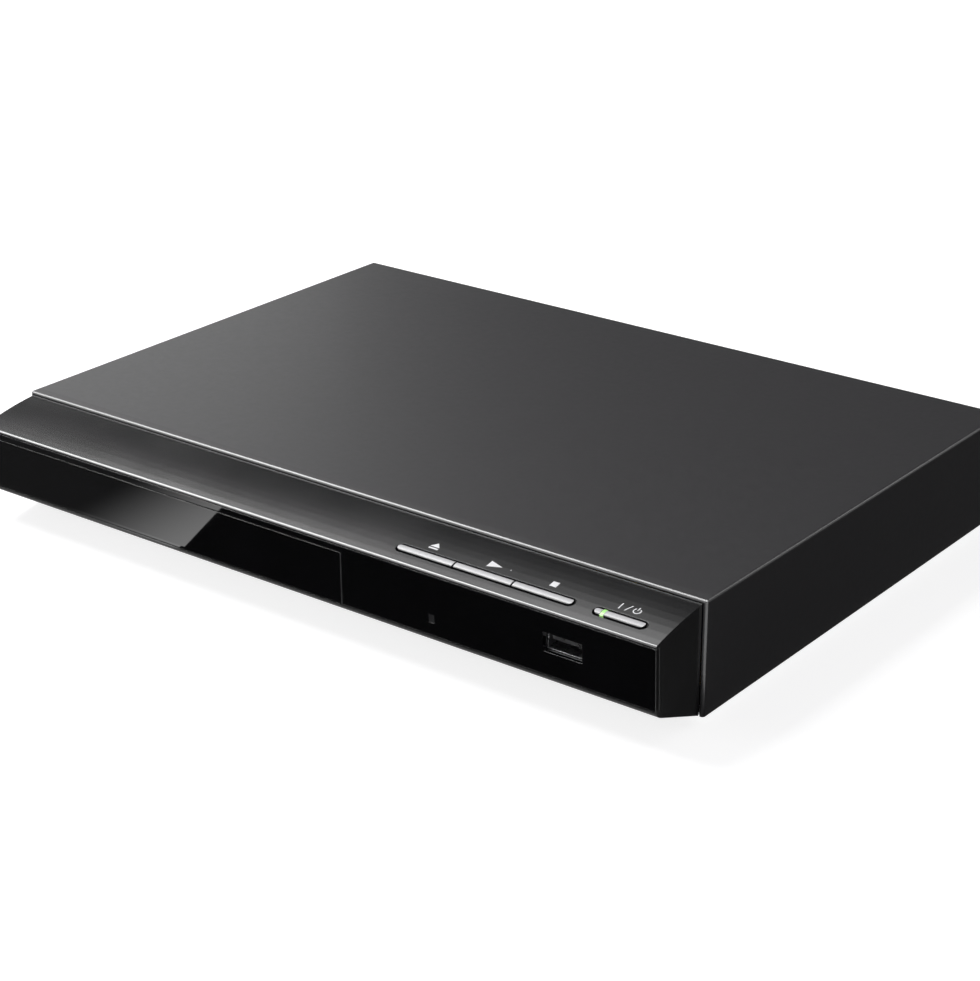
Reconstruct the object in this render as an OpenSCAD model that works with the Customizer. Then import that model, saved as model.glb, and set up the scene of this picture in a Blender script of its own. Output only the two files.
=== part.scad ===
// Slim disc player with a motorised tray, key row on a sloping front panel and a steel case.
// Millimetres. +Z up, the front faces -Y, origin under the middle of the outline, on the table.

/* [Case] */
// Width over the steel cover
body_w = 270; // [250:1:330]
// Depth of the steel cover, front edge to rear edge
cover_d = 179; // [174:1:220]
// Height of the steel cover
cover_h = 36.3; // [36.3:0.1:46]
// Thickness of the cover's sheet
cover_t = 0.7; // [0.5:0.1:0.9]
// Outside radius of the cover's bends
cover_r = 0.9; // [0.9:0.1:1.2]
// Depth of the strip behind the cover's front edge that slopes down a little
brow_d = 3.5; // [2:0.1:6]
// Thickness of the chassis and rear panel sheet
sheet_t = 0.8; // [0.6:0.1:1]
// Height of the chassis's folded side walls
chassis_wall_h = 9; // [7:0.5:12]
// Height of the rubber feet
foot_h = 2.2; // [1.5:0.1:4]
// Radius of the rubber feet
foot_r = 8; // [5:0.5:10]

/* [Front panel] */
// Depth of the front panel in front of the cover
front_d = 23; // [22:0.5:26]
// How far the panel's sides stand inside the cover's sides
front_inset = 1.5; // [0.5:0.1:3]
// Wall thickness of the front panel
front_wall = 2; // [1.6:0.1:2.4]
// Thickness of the glossy fascia
fascia_t = 1.6; // [1.2:0.1:1.8]
// Drop of the slope's rear edge below the cover's top
slope_rear_drop = 1.2; // [0.8:0.1:2]
// Drop of the slope's front edge below the cover's top
slope_front_drop = 5.4; // [4.8:0.1:6]
// How much the slope bulges above a straight line
slope_bulge = 0.55; // [0.2:0.05:0.8]
// Radius between the face and the underside
chin_r = 4.3; // [3:0.1:5]

/* [Keys] */
// Length of one transport key
key_l = 20.5; // [16:0.1:21.5]
// Width of the keys
key_w = 2.5; // [2.3:0.1:2.8]
// Length of the power key
power_key_l = 16.6; // [12:0.1:17]
// Travel of the keys
key_travel = 0.3; // [0.2:0.05:0.35]
// Gap around the keys in their slots
key_gap = 0.75; // [0.5:0.05:0.8]

/* [Tray and loader] */
// Width of the tray door
door_w = 150; // [148:0.5:154]
// Thickness of the tray door
door_t = 3.2; // [2.6:0.1:3.4]
// Gap around the tray door
door_gap = 0.4; // [0.3:0.05:0.5]
// Radius of the large disc recess
recess_r = 60.8; // [60.5:0.1:61.5]
// Radius of the small disc recess
small_recess_r = 40.8; // [40.5:0.1:41.5]
// Travel of the tray
tray_travel = 134; // [120:1:136]
// Width of the tray's plate
tray_w = 129; // [127:0.5:130]
// Length of the tray's plate
tray_l = 166; // [164:0.5:170]
// Radius of the turntable
turntable_r = 15; // [13:0.5:16]
// Travel of the optical pickup
pickup_travel = 34; // [28:0.5:35]
// Tilt of the lowered traverse
tilt = 3.8; // [3.4:0.1:4]

/* [Gears] */
// Teeth of the wheel that drives the tray's rack
rack_wheel_teeth = 20; // [18:1:22]
// Teeth of the large wheel under it
big_wheel_teeth = 42; // [38:1:44]
// Teeth of the pinion under the belt pulley
belt_pinion_teeth = 14; // [14:1:18]
// Radius of the belt groove on the driven pulley
big_pulley_r = 8.6; // [7.6:0.1:8.8]
// Radius of the belt groove on the motor pulley
motor_pulley_r = 2.4; // [2.2:0.1:3.4]

/* [Electronics] */
// Thickness of the circuit boards
board_t = 1.6; // [1:0.1:1.8]
// Height of the board posts on the chassis
post_h = 5.6; // [4.5:0.1:6.5]
// Radius of the phono jack barrels
barrel_r = 4.15; // [4:0.05:4.2]
// How far the jack barrels stand out behind the cover
rear_out = 5; // [3:0.5:9]

/* [Hidden] */
$fn = 64;

// Overlap of cutting tools past a surface, and the running clearance of shafts in bores
cut = 1;
run = 0.05;
side_gap = 0.15;

// Levels and planes of the case
z_base = foot_h;
z_top = z_base + cover_h;
z_floor = z_base + sheet_t;
y_front = -(front_d + cover_d + rear_out) / 2;
y_cover = y_front + front_d;
y_rear = y_cover + cover_d;
panel_y = y_rear - cover_t - sheet_t;
chassis_x = body_w / 2 - cover_t - side_gap;
front_x = body_w / 2 - front_inset;
seam = 0.3;
brow_drop = 0.2;

// Front panel outline in the YZ plane
face_lean = 0.85;
slope_rear = [y_cover - seam, z_top - slope_rear_drop];
nose = [y_front, z_top - slope_front_drop];
chin = [y_front + face_lean, z_base + 8.8];
heel = [y_cover - seam, z_base + 0.3];
nose_r = 0.8;
fascia_top_z = nose[1] - 0.9;
face_low = chin[1] + 2;
slope_run = slope_rear[0] - nose[0];
slope_rise = slope_rear[1] - nose[1];
chin_angle = atan2(chin[1] - heel[1], heel[0] - chin[0]);

// Keys: the middle of the row lies this far behind the face
key_y = y_front + 6.1;
key_step = key_l + 0.6;
key_row_x = body_w / 2 - 64.65;
eject_x = key_row_x - key_step;
play_x = key_row_x;
stop_x = key_row_x + key_step;
power_x = body_w / 2 - 17.45;
key_tilt = atan(slope_rise / slope_run
    + 4 * slope_bulge * (1 - 2 * (key_y - nose[0]) / slope_run) / slope_run);
key_proud = 0.4;
key_crown_r = 3.2;
key_flange_t = 0.7;
key_stem_l = 0.5;
key_board_t = 1.2;
key_flange_z = -slope_cover() - 0.45;
lens_w = 1.1;
lens_d = key_w + 0.4;
key_flange_w = key_w + 2 * key_gap + 1;
power_stem_x = 2;
lens_x = power_x - power_key_l / 2 + 2.8;
switch_h = 2.4;
switch_plunger_h = 0.5;
front_board_z = key_flange_z - key_flange_t - key_stem_l - switch_plunger_h - switch_h;

// Loader: the disc centre and the levels of the stack
tray_flange_w = 2.2;
wall_t = 2;
wall_in = tray_w / 2 + tray_flange_w + 0.45;
disc_x = -body_w / 2 + wall_in + wall_t + 12.25;
disc_y = y_front + 70;
door_x0 = disc_x - door_w / 2;
door_top = nose[1] - 3.1;
tray_y0 = y_front + door_t;
tray_top = door_top - 2.6;
tray_bottom = tray_top - 5;
recess_z = tray_top - 2.8;
small_recess_z = recess_z - 1;
tray_flange_z = tray_bottom + 0.2;
tray_flange_t = 1.8;
tray_rib_h = 4.4;
tray_rib_t = 2;
slot_w = 34;
slot_r = 19;
slot_end = disc_y + 65;
base_y0 = y_front + 10.5;
base_y1 = tray_y0 + tray_l + 18.5;
deck_z = z_floor + 9;
deck_t = 1.6;
deck_y1 = base_y0 + 35;
bridge_z = tray_top + 1.6;
bridge_t = 1.4;
bridge_hole_r = 13;
motor_deck_z = deck_z + 3.8;

// Loading gears
tooth_depth = 0.85;
backlash = 0.14;
rack_mod = 1;
wheel_mod = 0.8;
rack_pitch_x = disc_x + tray_w / 2 - 6.5;
rack_z = tray_bottom - 4.2;
drive_x = rack_pitch_x - rack_mod * rack_wheel_teeth / 2;
drive_y = base_y0 + 19;
belt_gear_dist = wheel_mod * (big_wheel_teeth + belt_pinion_teeth) / 2;
belt_gear_angle = 195;
belt_gear_x = drive_x + belt_gear_dist * cos(belt_gear_angle);
belt_gear_y = drive_y + belt_gear_dist * sin(belt_gear_angle);
motor_x = belt_gear_x - 34;
motor_y = belt_gear_y + 8;
motor_r = 10;
motor_h = 9.4;
belt_z = tray_bottom - 4.1;
pulley_h = 2.4;

// Traverse: hinge line at the rear, cam pins at the front
hinge_y = disc_y + 103.5;
hinge_z = z_floor + 11.4;
hinge_r = 2;
lift_half_w = 52;
lift_rail = 6;
lift_t = 4.4;
lift_y0 = disc_y - 16.5;
cam_pin_y = lift_y0 - 5.2;
cam_pin_z = hinge_z + 1;
cam_pin_r = 1.4;
cam_travel = 22;
slider_y0 = cam_pin_y - 1.2;
slider_t = 2.8;
slider_z0 = z_floor + 0.9;
slider_z1 = z_floor + 15.6;
disc_up_z = recess_z + 2;
lens_up_z = disc_up_z - 1.6;
plate_z = hinge_z - 1.2;
plate_t = 2;
rod_x = 24;
rod_r = 1.5;
rod_z = plate_z + 5.3;
rod_y0 = disc_y + 13;
rod_y1 = disc_y + 90;
lens_r0 = 24;
sled_mod = 0.5;
sled_gear_teeth = 24;
sled_small_teeth = 14;
sled_pinion_teeth = 10;
sled_rack_u = -34;
sled_gear_u = sled_rack_u - sled_mod * sled_small_teeth / 2;
sled_gear_y = disc_y + 50.5;
sled_dist = sled_mod * (sled_gear_teeth + sled_pinion_teeth) / 2;

// Boards
board_z = z_floor + post_h;
main_x0 = disc_x + wall_in + wall_t + 6.95;
scart_x = main_x0 + (body_w / 2 - main_x0) / 4 - 2.125;
jack_x = scart_x + 38;
hdmi_x = jack_x + 21.5;
main_x1 = hdmi_x + 10;
main_w = main_x1 - main_x0;
main_y0 = panel_y - 72.4;
main_y1 = panel_y - 0.6;
power_y0 = y_cover + 4.5;
power_y1 = main_y0 - 8;
power_x1 = body_w / 2 - 4;
power_w = power_x1 - main_x0;
board_screw_r = 1.4;
ribbon_w = 10;
ribbon_x = main_x0 + 0.27 * power_w;
post_r = 3;
main_posts = [[main_x0 + 5, main_y0 + 5], [main_x1 - 5, main_y0 + 5],
    [main_x0 + 5, main_y0 + 40], [main_x1 - 5, main_y0 + 40]];
power_posts = [[main_x0 + 5, power_y0 + 5], [power_x1 - 5, power_y0 + 5],
    [main_x0 + 5, power_y1 - 5], [power_x1 - 5, power_y1 - 5]];

// Rear sockets: the gland stands over the HDMI socket
jack_pitch = 11.6;
jack_z = board_z + board_t + 6.8;
gland_x = body_w / 2 - 10;
gland_z = z_floor + 19.5;
gland_r = 5;

// Front sockets
usb_x = body_w / 2 - 32.7;
usb_w = 13.1;
usb_h = 5.7;
usb_z = z_base + 18.2;
usb_l = 14;
usb_y0 = y_front + 2.4;
remote_x = body_w / 2 - 79.5;
remote_z = z_base + 16.1;
remote_w = 1.9;
remote_h = 2.5;

// Positions of the chassis's own fixings
foot_x = body_w / 2 - 25;
foot_y0 = y_cover + 18;
foot_y1 = y_rear - 20;
cover_tabs = [-body_w / 2 + 30, 0, body_w / 2 - 14];
rear_vents_x = -body_w / 2 + 39;
loader_foot_x = wall_in + wall_t + 3;
loader_feet_y = [base_y0 + 23, base_y1 - 8];

// ---- helpers -------------------------------------------------------------------------------

function unit(v) = v / norm(v);

// Points of an arc of radius r that rounds corner b between a and c
function corner(a, b, c, r, n = 6) =
    let (u = unit(a - b), w = unit(c - b), half = acos(u * w) / 2,
        mid = b + unit(u + w) * r / sin(half),
        d0 = b + u * r / tan(half) - mid, d1 = b + w * r / tan(half) - mid,
        sweep = 180 - 2 * half)
    [for (i = [0 : n]) mid + (d0 * sin((1 - i / n) * sweep) + d1 * sin(i / n * sweep)) / sin(sweep)];

// Height of the slope's surface at y
function slope_z(y) =
    let (t = (y - nose[0]) / slope_run)
    nose[1] + slope_rise * t + 4 * slope_bulge * t * (1 - t);

// Vertical cover of the slope wall at the keys, with its wall taken along the normal
function slope_cover() = front_wall;

// Outline of the front panel in YZ, moved inwards by w; rear is the y of its open end
function panel_outline(w = 0, rear = slope_rear[0]) =
    let (top = [for (i = [0 : 8]) let (y = nose[0] + w + (rear - nose[0] - w) * i / 8)
            [y, slope_z(min(y, slope_rear[0])) - w * 1.03]],
        c = chin + [w, w * (1 / cos(chin_angle) - tan(chin_angle))],
        h = [rear, heel[1] + w / cos(chin_angle) - (rear - heel[0]) * tan(chin_angle)])
    concat([h], corner(h, c, top[0], max(chin_r - w, 0.5)),
        w == 0 ? corner(c, top[0], top[1], nose_r, 4) : [top[0]],
        [for (i = [1 : 8]) top[i]]);

// Extrudes a YZ outline from x0 to x1
module along_x(x0, x1) {
    translate([x0, 0, 0]) rotate([90, 0, 90]) linear_extrude(x1 - x0) children();
}

module box(a, b) {
    translate(a) cube(b - a);
}

module rod(p, r, h) {
    translate(p) cylinder(r = r, h = h);
}

// A tube standing on p
module tube(p, r_out, r_in, h) {
    difference() {
        rod(p, r_out, h);
        rod(p - [0, 0, cut], r_in, h + 2 * cut);
    }
}

// Rounded bar in plan, length along x
module bar(l, w, h) {
    linear_extrude(h) {
        square([l - w, w], center = true);
        for (s = [-1, 1]) translate([s * (l - w) / 2, 0]) circle(d = w);
    }
}

// Frame whose origin lies on the slope at the key row's middle, z along the slope's normal
module on_slope(x) {
    translate([x, key_y, slope_z(key_y)]) rotate([key_tilt, 0, 0]) children();
}

// The traverse's own frame: x from the disc centre, lowered by its tilt about the hinge line
module lowered() {
    translate([disc_x, hinge_y, hinge_z]) rotate([tilt, 0, 0]) translate([0, -hinge_y, -hinge_z])
        children();
}

// Point of an involute at roll angle t on a base circle of radius b
function involute(b, t) = b * [cos(t) + t * PI / 180 * sin(t), sin(t) - t * PI / 180 * cos(t)];

function turned(p, a) = [p[0] * cos(a) - p[1] * sin(a), p[0] * sin(a) + p[1] * cos(a)];

// Outline of a spur gear with a tooth centred on +x
function gear_points(teeth, m) =
    let (r = m * teeth / 2, b = r * cos(20), tip = r + tooth_depth * m, root = r - 1.1 * m,
        t_tip = sqrt(pow(tip / b, 2) - 1) * 180 / PI,
        t_pitch = tan(20) * 180 / PI,
        roll0 = root > b ? sqrt(pow(root / b, 2) - 1) * 180 / PI : 0,
        at_pitch = t_pitch - 20,
        half = 90 / teeth - backlash / 2 / r * 180 / PI,
        flank = [for (i = [0 : 5]) turned(involute(b, roll0 + (t_tip - roll0) * i / 5),
                -half - at_pitch)],
        low = root < b ? [turned([root, 0], -half - at_pitch)] : [],
        right = concat(low, flank),
        left = [for (i = [len(right) - 1 : -1 : 0]) [right[i][0], -right[i][1]]],
        tooth = concat(right, left))
    [for (k = [0 : teeth - 1]) each [for (p = tooth) turned(p, k * 360 / teeth)]];

module gear(teeth, m, h, phase = 0) {
    linear_extrude(h) rotate(phase) polygon(gear_points(teeth, m));
}

// Outline of a rack, teeth towards -x, with a space centred on y0; pitch line at x = 0
function rack_points(m, count, y0, back) =
    let (p = PI * m, a = tooth_depth * m, d = 1.1 * m, t = tan(20),
        half = p / 4 - backlash / 2)
    concat([[back, y0 - p * count / 2], [d, y0 - p * count / 2]],
        [for (k = [0 : count - 1]) let (c = y0 - p * count / 2 + p * (k + 0.5))
            each [[d, c - half - d * t], [-a, c - half + a * t], [-a, c + half - a * t],
                [d, c + half + d * t]]],
        [[d, y0 + p * count / 2], [back, y0 + p * count / 2]]);

// Outline around two circles, as a belt lies on its pulleys
function belt_points(a, ra, b, rb, n = 40) =
    let (d = norm(b - a), dir = atan2(b[1] - a[1], b[0] - a[0]), lap = acos((ra - rb) / d))
    concat(
        [for (i = [0 : n]) a + ra * [cos(dir + lap + (360 - 2 * lap) * i / n),
            sin(dir + lap + (360 - 2 * lap) * i / n)]],
        [for (i = [0 : n]) b + rb * [cos(dir - lap + 2 * lap * i / n),
            sin(dir - lap + 2 * lap * i / n)]]);

// Grooved pulley, its belt plane at mid height
module pulley(r, h) {
    flange = 0.5;
    rotate_extrude() polygon([[0, 0], [r + 1.1, 0], [r + 1.1, flange], [r, flange], [r, h - flange],
        [r + 1.1, h - flange], [r + 1.1, h], [0, h]]);
}

// Screw with its head resting on p, shank downwards
module pan_screw(p, shank_r, shank_l, head_r, head_h) {
    translate(p) {
        difference() {
            cylinder(r = head_r, h = head_h);
            for (a = [0, 90]) rotate(a) translate([-head_r * 0.6, -0.35, head_h - 0.7])
                cube([head_r * 1.2, 0.7, cut]);
        }
        translate([0, 0, -shank_l]) cylinder(r = shank_r, h = shank_l);
    }
}

// ---- case ----------------------------------------------------------------------------------

module cover_solid(w) {
    x = body_w / 2 - w;
    r = cover_r - w;
    front = y_cover + w;
    back = y_rear + (w > 0 ? cut : 0);
    corner_r = w > 0 ? min(r, 0.3) : r;
    intersection() {
        translate([0, 0, z_base - 2 * cut]) linear_extrude(cover_h + 3 * cut)
            polygon(concat([[-x, back]], corner([-x, back], [-x, front], [x, front], corner_r),
                corner([-x, front], [x, front], [x, back], corner_r), [[x, back]]));
        translate([0, back, 0]) rotate([90, 0, 0]) linear_extrude(back - front)
            polygon(concat([[-x, z_base - (w > 0 ? cut : 0)]],
                corner([-x, z_base], [-x, z_top - w], [x, z_top - w], r),
                corner([-x, z_top - w], [x, z_top - w], [x, z_base], r),
                [[x, z_base - (w > 0 ? cut : 0)]]));
        along_x(-x - cut, x + cut)
            polygon(concat([[front, z_base - cut]],
                corner([front, z_base], [front, z_top - brow_drop - w], [y_cover + brow_d,
                    z_top - w], r), [[y_cover + brow_d, z_top - w], [y_rear + cut, z_top - w],
                    [y_rear + cut, z_base - cut]]));
    }
}

// Steel cover: top and sides in one sheet, hemmed front edge, screw tabs over the rear panel
module top_cover() color("dimgray") {
    tab_w = 12;
    tab_h = 9;
    difference() {
        cover_solid(0);
        cover_solid(cover_t);
        box([-front_x - 0.2, y_cover - cut, z_base - cut], [front_x + 0.2, y_cover + cut + cover_r,
            slope_rear[1] + 0.1]);
    }
    for (x = cover_tabs) difference() {
        box([x - tab_w / 2, y_rear - cover_t, z_top - tab_h], [x + tab_w / 2, y_rear,
            z_top - cover_t]);
        translate([x, y_rear + cut, z_top - tab_h + 3.5]) rotate([90, 0, 0])
            cylinder(r = 1.7, h = cover_t + 2 * cut);
    }
}

// Folded steel chassis: floor with vents, side walls, front lip, board and loader posts
module bottom_chassis() color("silver") {
    x = chassis_x;
    y0 = y_cover + cover_t + side_gap;
    y1 = y_rear - cover_t - sheet_t - 0.2;
    vent_l = 18;
    vent_w = 2;
    lip_h = 7;
    difference() {
        union() {
            box([-x, y0, z_base], [x, y1, z_floor]);
            for (s = [-1, 1]) box([s > 0 ? x - sheet_t : -x, y0, z_base],
                [s > 0 ? x : -x + sheet_t, y1, z_base + chassis_wall_h]);
            box([main_x0, y0, z_base], [front_x - 3, y0 + sheet_t, z_base + lip_h]);
            for (p = concat(main_posts, power_posts)) rod([p[0], p[1], z_base], post_r,
                board_z - z_base);
        }
        for (p = concat(main_posts, power_posts)) rod([p[0], p[1], z_base - cut],
            board_screw_r + 0.1, board_z - z_base + 2 * cut);
        for (s = [-1, 1], y = loader_feet_y) rod([disc_x + s * loader_foot_x, y, z_base - cut],
            1.5, sheet_t + 2 * cut);
        for (k = [0 : 9], row = [0, 1]) box(
            [main_x0 + 18 + 7 * k, power_y0 + 16 + row * 26, z_base - cut],
            [main_x0 + 18 + 7 * k + vent_w, power_y0 + 16 + row * 26 + vent_l, z_floor + cut]);
    }
}

// Rear panel with the socket cut-outs, vents and gland hole
module rear_panel() color("silver") {
    x = chassis_x - sheet_t - 0.25;
    z1 = z_top - cover_t - 0.3;
    foot_d = 8;
    difference() {
        union() {
            box([-x, panel_y, z_floor], [x, panel_y + sheet_t, z1]);
            box([-x, panel_y - foot_d, z_floor], [main_x0 - 2, panel_y + sheet_t,
                z_floor + sheet_t]);
        }
        box([scart_x - 24.6, panel_y - cut, board_z + board_t], [scart_x + 24.6,
            panel_y + sheet_t + cut, board_z + board_t + 16.6]);
        box([jack_x - 12.4, panel_y - cut, board_z + board_t], [jack_x + 12.4,
            panel_y + sheet_t + cut, jack_z + jack_pitch + 6.6]);
        box([hdmi_x - 8, panel_y - cut, board_z + board_t], [hdmi_x + 8,
            panel_y + sheet_t + cut, board_z + board_t + 6.7]);
        translate([gland_x, panel_y - cut, gland_z]) rotate([-90, 0, 0])
            cylinder(r = gland_r - 1, h = sheet_t + 2 * cut);
        for (px = cover_tabs) translate([px, panel_y - cut, z_top - 5.5]) rotate([-90, 0, 0])
            cylinder(r = 1.5, h = sheet_t + 2 * cut);
        for (k = [0 : 13]) box([rear_vents_x + 6 * k, panel_y - cut, z_floor + 9],
            [rear_vents_x + 6 * k + 2, panel_y + sheet_t + cut, z_floor + 21]);
    }
}

module feet() color("#202020") {
    for (x = [-foot_x, foot_x], y = [foot_y0, foot_y1]) translate([x, y, 0])
        rotate_extrude() polygon([[0, 0], [foot_r - 0.6, 0], [foot_r, 0.6], [foot_r, foot_h],
            [0, foot_h]]);
}

// Screws that hold the cover's tabs to the rear panel
module cover_screws() color("#303030") {
    for (x = cover_tabs) translate([x, y_rear, z_top - 5.5]) rotate([-90, 0, 0])
        pan_screw([0, 0, 0], 1.35, 6, 2.9, 1.6);
}

// ---- front panel ---------------------------------------------------------------------------

// Solid of the fascia's skin: the panel's front surface, moved back by t, down to the chin
module front_skin(t, x0, x1, low = face_low) {
    intersection() {
        difference() {
            along_x(x0, x1) polygon(panel_outline());
            translate([-cut, t, 0]) along_x(x0, x1 + 2 * cut) polygon(panel_outline(0, slope_rear[0] + 2));
        }
        box([x0 - cut, y_front - cut, low], [x1 + cut, chin[0] + chin_r - 0.6, fascia_top_z]);
    }
}

// Space of the door with a gap round it
module door_space(gap) {
    box([door_x0 - gap, y_front - cut, face_low - gap], [door_x0 + door_w + gap, tray_y0 + 0.4,
        door_top + gap]);
}

module key_slot(x, l) {
    on_slope(x) translate([0, 0, -8]) bar(l + 2 * key_gap, key_w + 2 * key_gap, 12);
}

module usb_hole(gap) {
    box([usb_x - usb_w / 2 - gap, y_front - cut, usb_z - gap], [usb_x + usb_w / 2 + gap,
        y_front + 8, usb_z + usb_h + gap]);
}

module remote_hole(gap) {
    box([remote_x - remote_w / 2 - gap, y_front - cut, remote_z - remote_h / 2 - gap],
        [remote_x + remote_w / 2 + gap, y_front + 8, remote_z + remote_h / 2 + gap]);
}

// Moulded front panel: slope, sides, underside, wall behind the fascia, tray frame and posts
module front_panel() color("#3a3a3c") {
    w = front_wall;
    tray_hole_x = tray_w / 2 + tray_flange_w + 0.7;
    post_y = usb_y0 + usb_l + 3;
    difference() {
        union() {
            difference() {
                along_x(-front_x, front_x) polygon(panel_outline());
                along_x(-front_x + w, front_x - w) polygon(panel_outline(w, slope_rear[0] + cut));
                front_skin(fascia_t + 0.1, -front_x - cut, front_x + cut, face_low - 0.25);
                box([-front_x - cut, y_front - cut, fascia_top_z - 0.01], [front_x + cut,
                    y_front + fascia_t, fascia_top_z + 0.1]);
            }
            // wall behind the fascia
            intersection() {
                along_x(-front_x, front_x) polygon(panel_outline());
                translate([0, fascia_t + 0.1, 0]) difference() {
                    along_x(-front_x, front_x) polygon(panel_outline(0, slope_rear[0] + 2));
                    translate([0, 1.5, 0]) along_x(-front_x - cut, front_x + cut)
                        polygon(panel_outline(0, slope_rear[0] + 4));
                }
            }
            // frame behind the door that the tray runs through
            intersection() {
                along_x(-front_x + 1, front_x - 1) polygon(panel_outline(1));
                box([door_x0 - 2.2, tray_y0 + 0.5, z_base], [door_x0 + door_w + 2.2,
                    tray_y0 + 2, z_top]);
            }
            // side lugs inside the chassis walls
            for (s = [-1, 1]) box([s > 0 ? front_x - w : -front_x + 0.4, y_cover - 3, z_base + 3.4],
                [s > 0 ? front_x - 0.4 : -front_x + w, y_cover + 8, z_base + 8]);
            // posts under the socket board
            for (x = [usb_x - 10, usb_x + 10]) intersection() {
                rod([x, post_y, z_base], 2.4, usb_z - board_t - 0.05 - z_base);
                along_x(-front_x + 1, front_x - 1) polygon(panel_outline(1));
            }
            // posts above the key board
            for (x = key_board_screws()) intersection() {
                on_slope(x) translate([0, 12, front_board_z]) cylinder(r = 2.2, h = 12);
                along_x(-front_x + 1, front_x - 1) polygon(panel_outline(1));
            }
        }
        door_space(door_gap);
        box([disc_x - tray_hole_x, y_front, tray_bottom - tray_rib_h - 0.6],
            [disc_x + tray_hole_x, tray_y0 + 4, tray_top + 0.9]);
        key_slot(play_x, 3 * key_l + 2 * (key_step - key_l));
        key_slot(power_x, power_key_l);
        usb_hole(0.15);
        remote_hole(0.1);
    }
}

// Glossy face: right block, strip over the door and the left end
module front_fascia() color("#08080a") {
    difference() {
        front_skin(fascia_t, -front_x, front_x);
        door_space(door_gap);
        usb_hole(0.15);
        remote_hole(0.1);
    }
}

module remote_window() color("#4a4a4a") {
    intersection() {
        front_skin(fascia_t + 0.6, -front_x, front_x);
        remote_hole(0);
    }
}

// Plan of a key; an end is round where it closes the row and square where it meets a neighbour
module key_plan(l, round_left, round_right) {
    x0 = -l / 2;
    x1 = l / 2;
    r = key_w / 2;
    end_step = 15;
    polygon(concat(
        round_left ? [for (a = [90 : end_step : 270]) [x0 + r + r * cos(a), r * sin(a)]]
            : [[x0, r], [x0, -r]],
        round_right ? [for (a = [-90 : end_step : 90]) [x1 - r + r * cos(a), r * sin(a)]]
            : [[x1, -r], [x1, r]]));
}

// Everything under the crowned top of a key of length l
module crowned(l) {
    intersection() {
        children();
        union() {
            translate([-l / 2 - cut, 0, key_proud - key_crown_r]) rotate([0, 90, 0])
                cylinder(r = key_crown_r, h = l + 2 * cut);
            translate([-l / 2 - cut, -key_w, front_board_z]) cube([l + 2 * cut, 2 * key_w,
                key_proud - 0.6 - front_board_z]);
        }
    }
}

// One key: proud bar, flange under the slope and stem down to its switch
module key(x, l, round_left, round_right, stem_x = 0) {
    flange_low = key_flange_z - key_flange_t;
    switch_top = front_board_z + switch_h + switch_plunger_h;
    on_slope(x) {
        crowned(l) translate([0, 0, flange_low + 0.1])
            linear_extrude(key_proud - flange_low - 0.1) key_plan(l, round_left, round_right);
        translate([-l / 2 + 0.05, -key_flange_w / 2, flange_low]) cube([l - 0.1, key_flange_w,
            key_flange_t]);
        translate([stem_x, 0, switch_top + 0.02]) cylinder(r = 1.1, h = flange_low - switch_top + 0.3);
    }
}

module eject_button() color("#d8d8da") key(eject_x, key_l, true, false);

module play_button() color("#d8d8da") key(play_x, key_l, false, false);

module stop_button() color("#d8d8da") key(stop_x, key_l, false, true);

// The power key has a window for the light guide
module power_button() color("#d8d8da") difference() {
    key(power_x, power_key_l, true, true, power_stem_x);
    on_slope(lens_x) translate([-lens_w / 2 - 0.12, -lens_d / 2 - 0.12, key_flange_z - 3])
        cube([lens_w + 0.24, lens_d + 0.24, 8]);
}

// Light guide that shows as a green stripe across the power key
module power_lens() color("#58e070") {
    on_slope(lens_x) {
        crowned(lens_w) translate([-lens_w / 2, -lens_d / 2, front_board_z + 2.85])
            cube([lens_w, lens_d, key_proud - front_board_z - 2.85]);
    }
}

module usb_socket() color("silver") {
    w = 0.3;
    difference() {
        box([usb_x - usb_w / 2, usb_y0, usb_z], [usb_x + usb_w / 2, usb_y0 + usb_l, usb_z + usb_h]);
        box([usb_x - usb_w / 2 + w, usb_y0 - cut, usb_z + w], [usb_x + usb_w / 2 - w,
            usb_y0 + usb_l - 1, usb_z + usb_h - w]);
    }
    box([usb_x - 5.55, usb_y0 + 1.2, usb_z + usb_h - w - 2.7], [usb_x + 5.55, usb_y0 + usb_l - 1,
        usb_z + usb_h - w - 0.9]);
}

module remote_receiver() color("#101014") {
    y = y_front + fascia_t + 3.4;
    on_board_z = front_board_low(remote_x, y + 2);
    box([remote_x - 2.8, y, remote_z - 3.2], [remote_x + 2.8, y + 3.6, remote_z + 3.8]);
    translate([remote_x, y, remote_z]) rotate([90, 0, 0]) cylinder(r = 1.9, h = 0.5);
    for (k = [-1, 0, 1]) box([remote_x + 1.8 * k - 0.25, y + 1.8, remote_z + 3.8],
        [remote_x + 1.8 * k + 0.25, y + 2.2, on_board_z - 0.05]);
}

// Underside of the tilted key board at y
function front_board_low(x, y) =
    slope_z(key_y) + (front_board_z - key_board_t) / cos(key_tilt) + (y - key_y) * tan(key_tilt);

// Places of the key board's screws
function key_board_screws() = [eject_x - 9, power_x + 9.5];

module key_board(x0, x1) {
    on_slope(0) translate([x0, -2.3, front_board_z - key_board_t]) cube([x1 - x0, 17.3,
        key_board_t]);
}

// Key board under the slope and socket board under the front socket
module front_boards() color("#1d4a2c") {
    difference() {
        key_board(eject_x - 13, power_x + 13.2);
        for (x = key_board_screws()) on_slope(x) translate([0, 12, front_board_z - 5])
            cylinder(r = board_screw_r + 0.2, h = 10);
    }
    difference() {
        box([usb_x - 14, usb_y0 + 3, usb_z - board_t], [usb_x + 14, usb_y0 + usb_l + 6.4, usb_z]);
        for (x = [usb_x - 10, usb_x + 10]) rod([x, usb_y0 + usb_l + 3, usb_z - 5],
            board_screw_r + 0.2, 10);
    }
}

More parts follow.
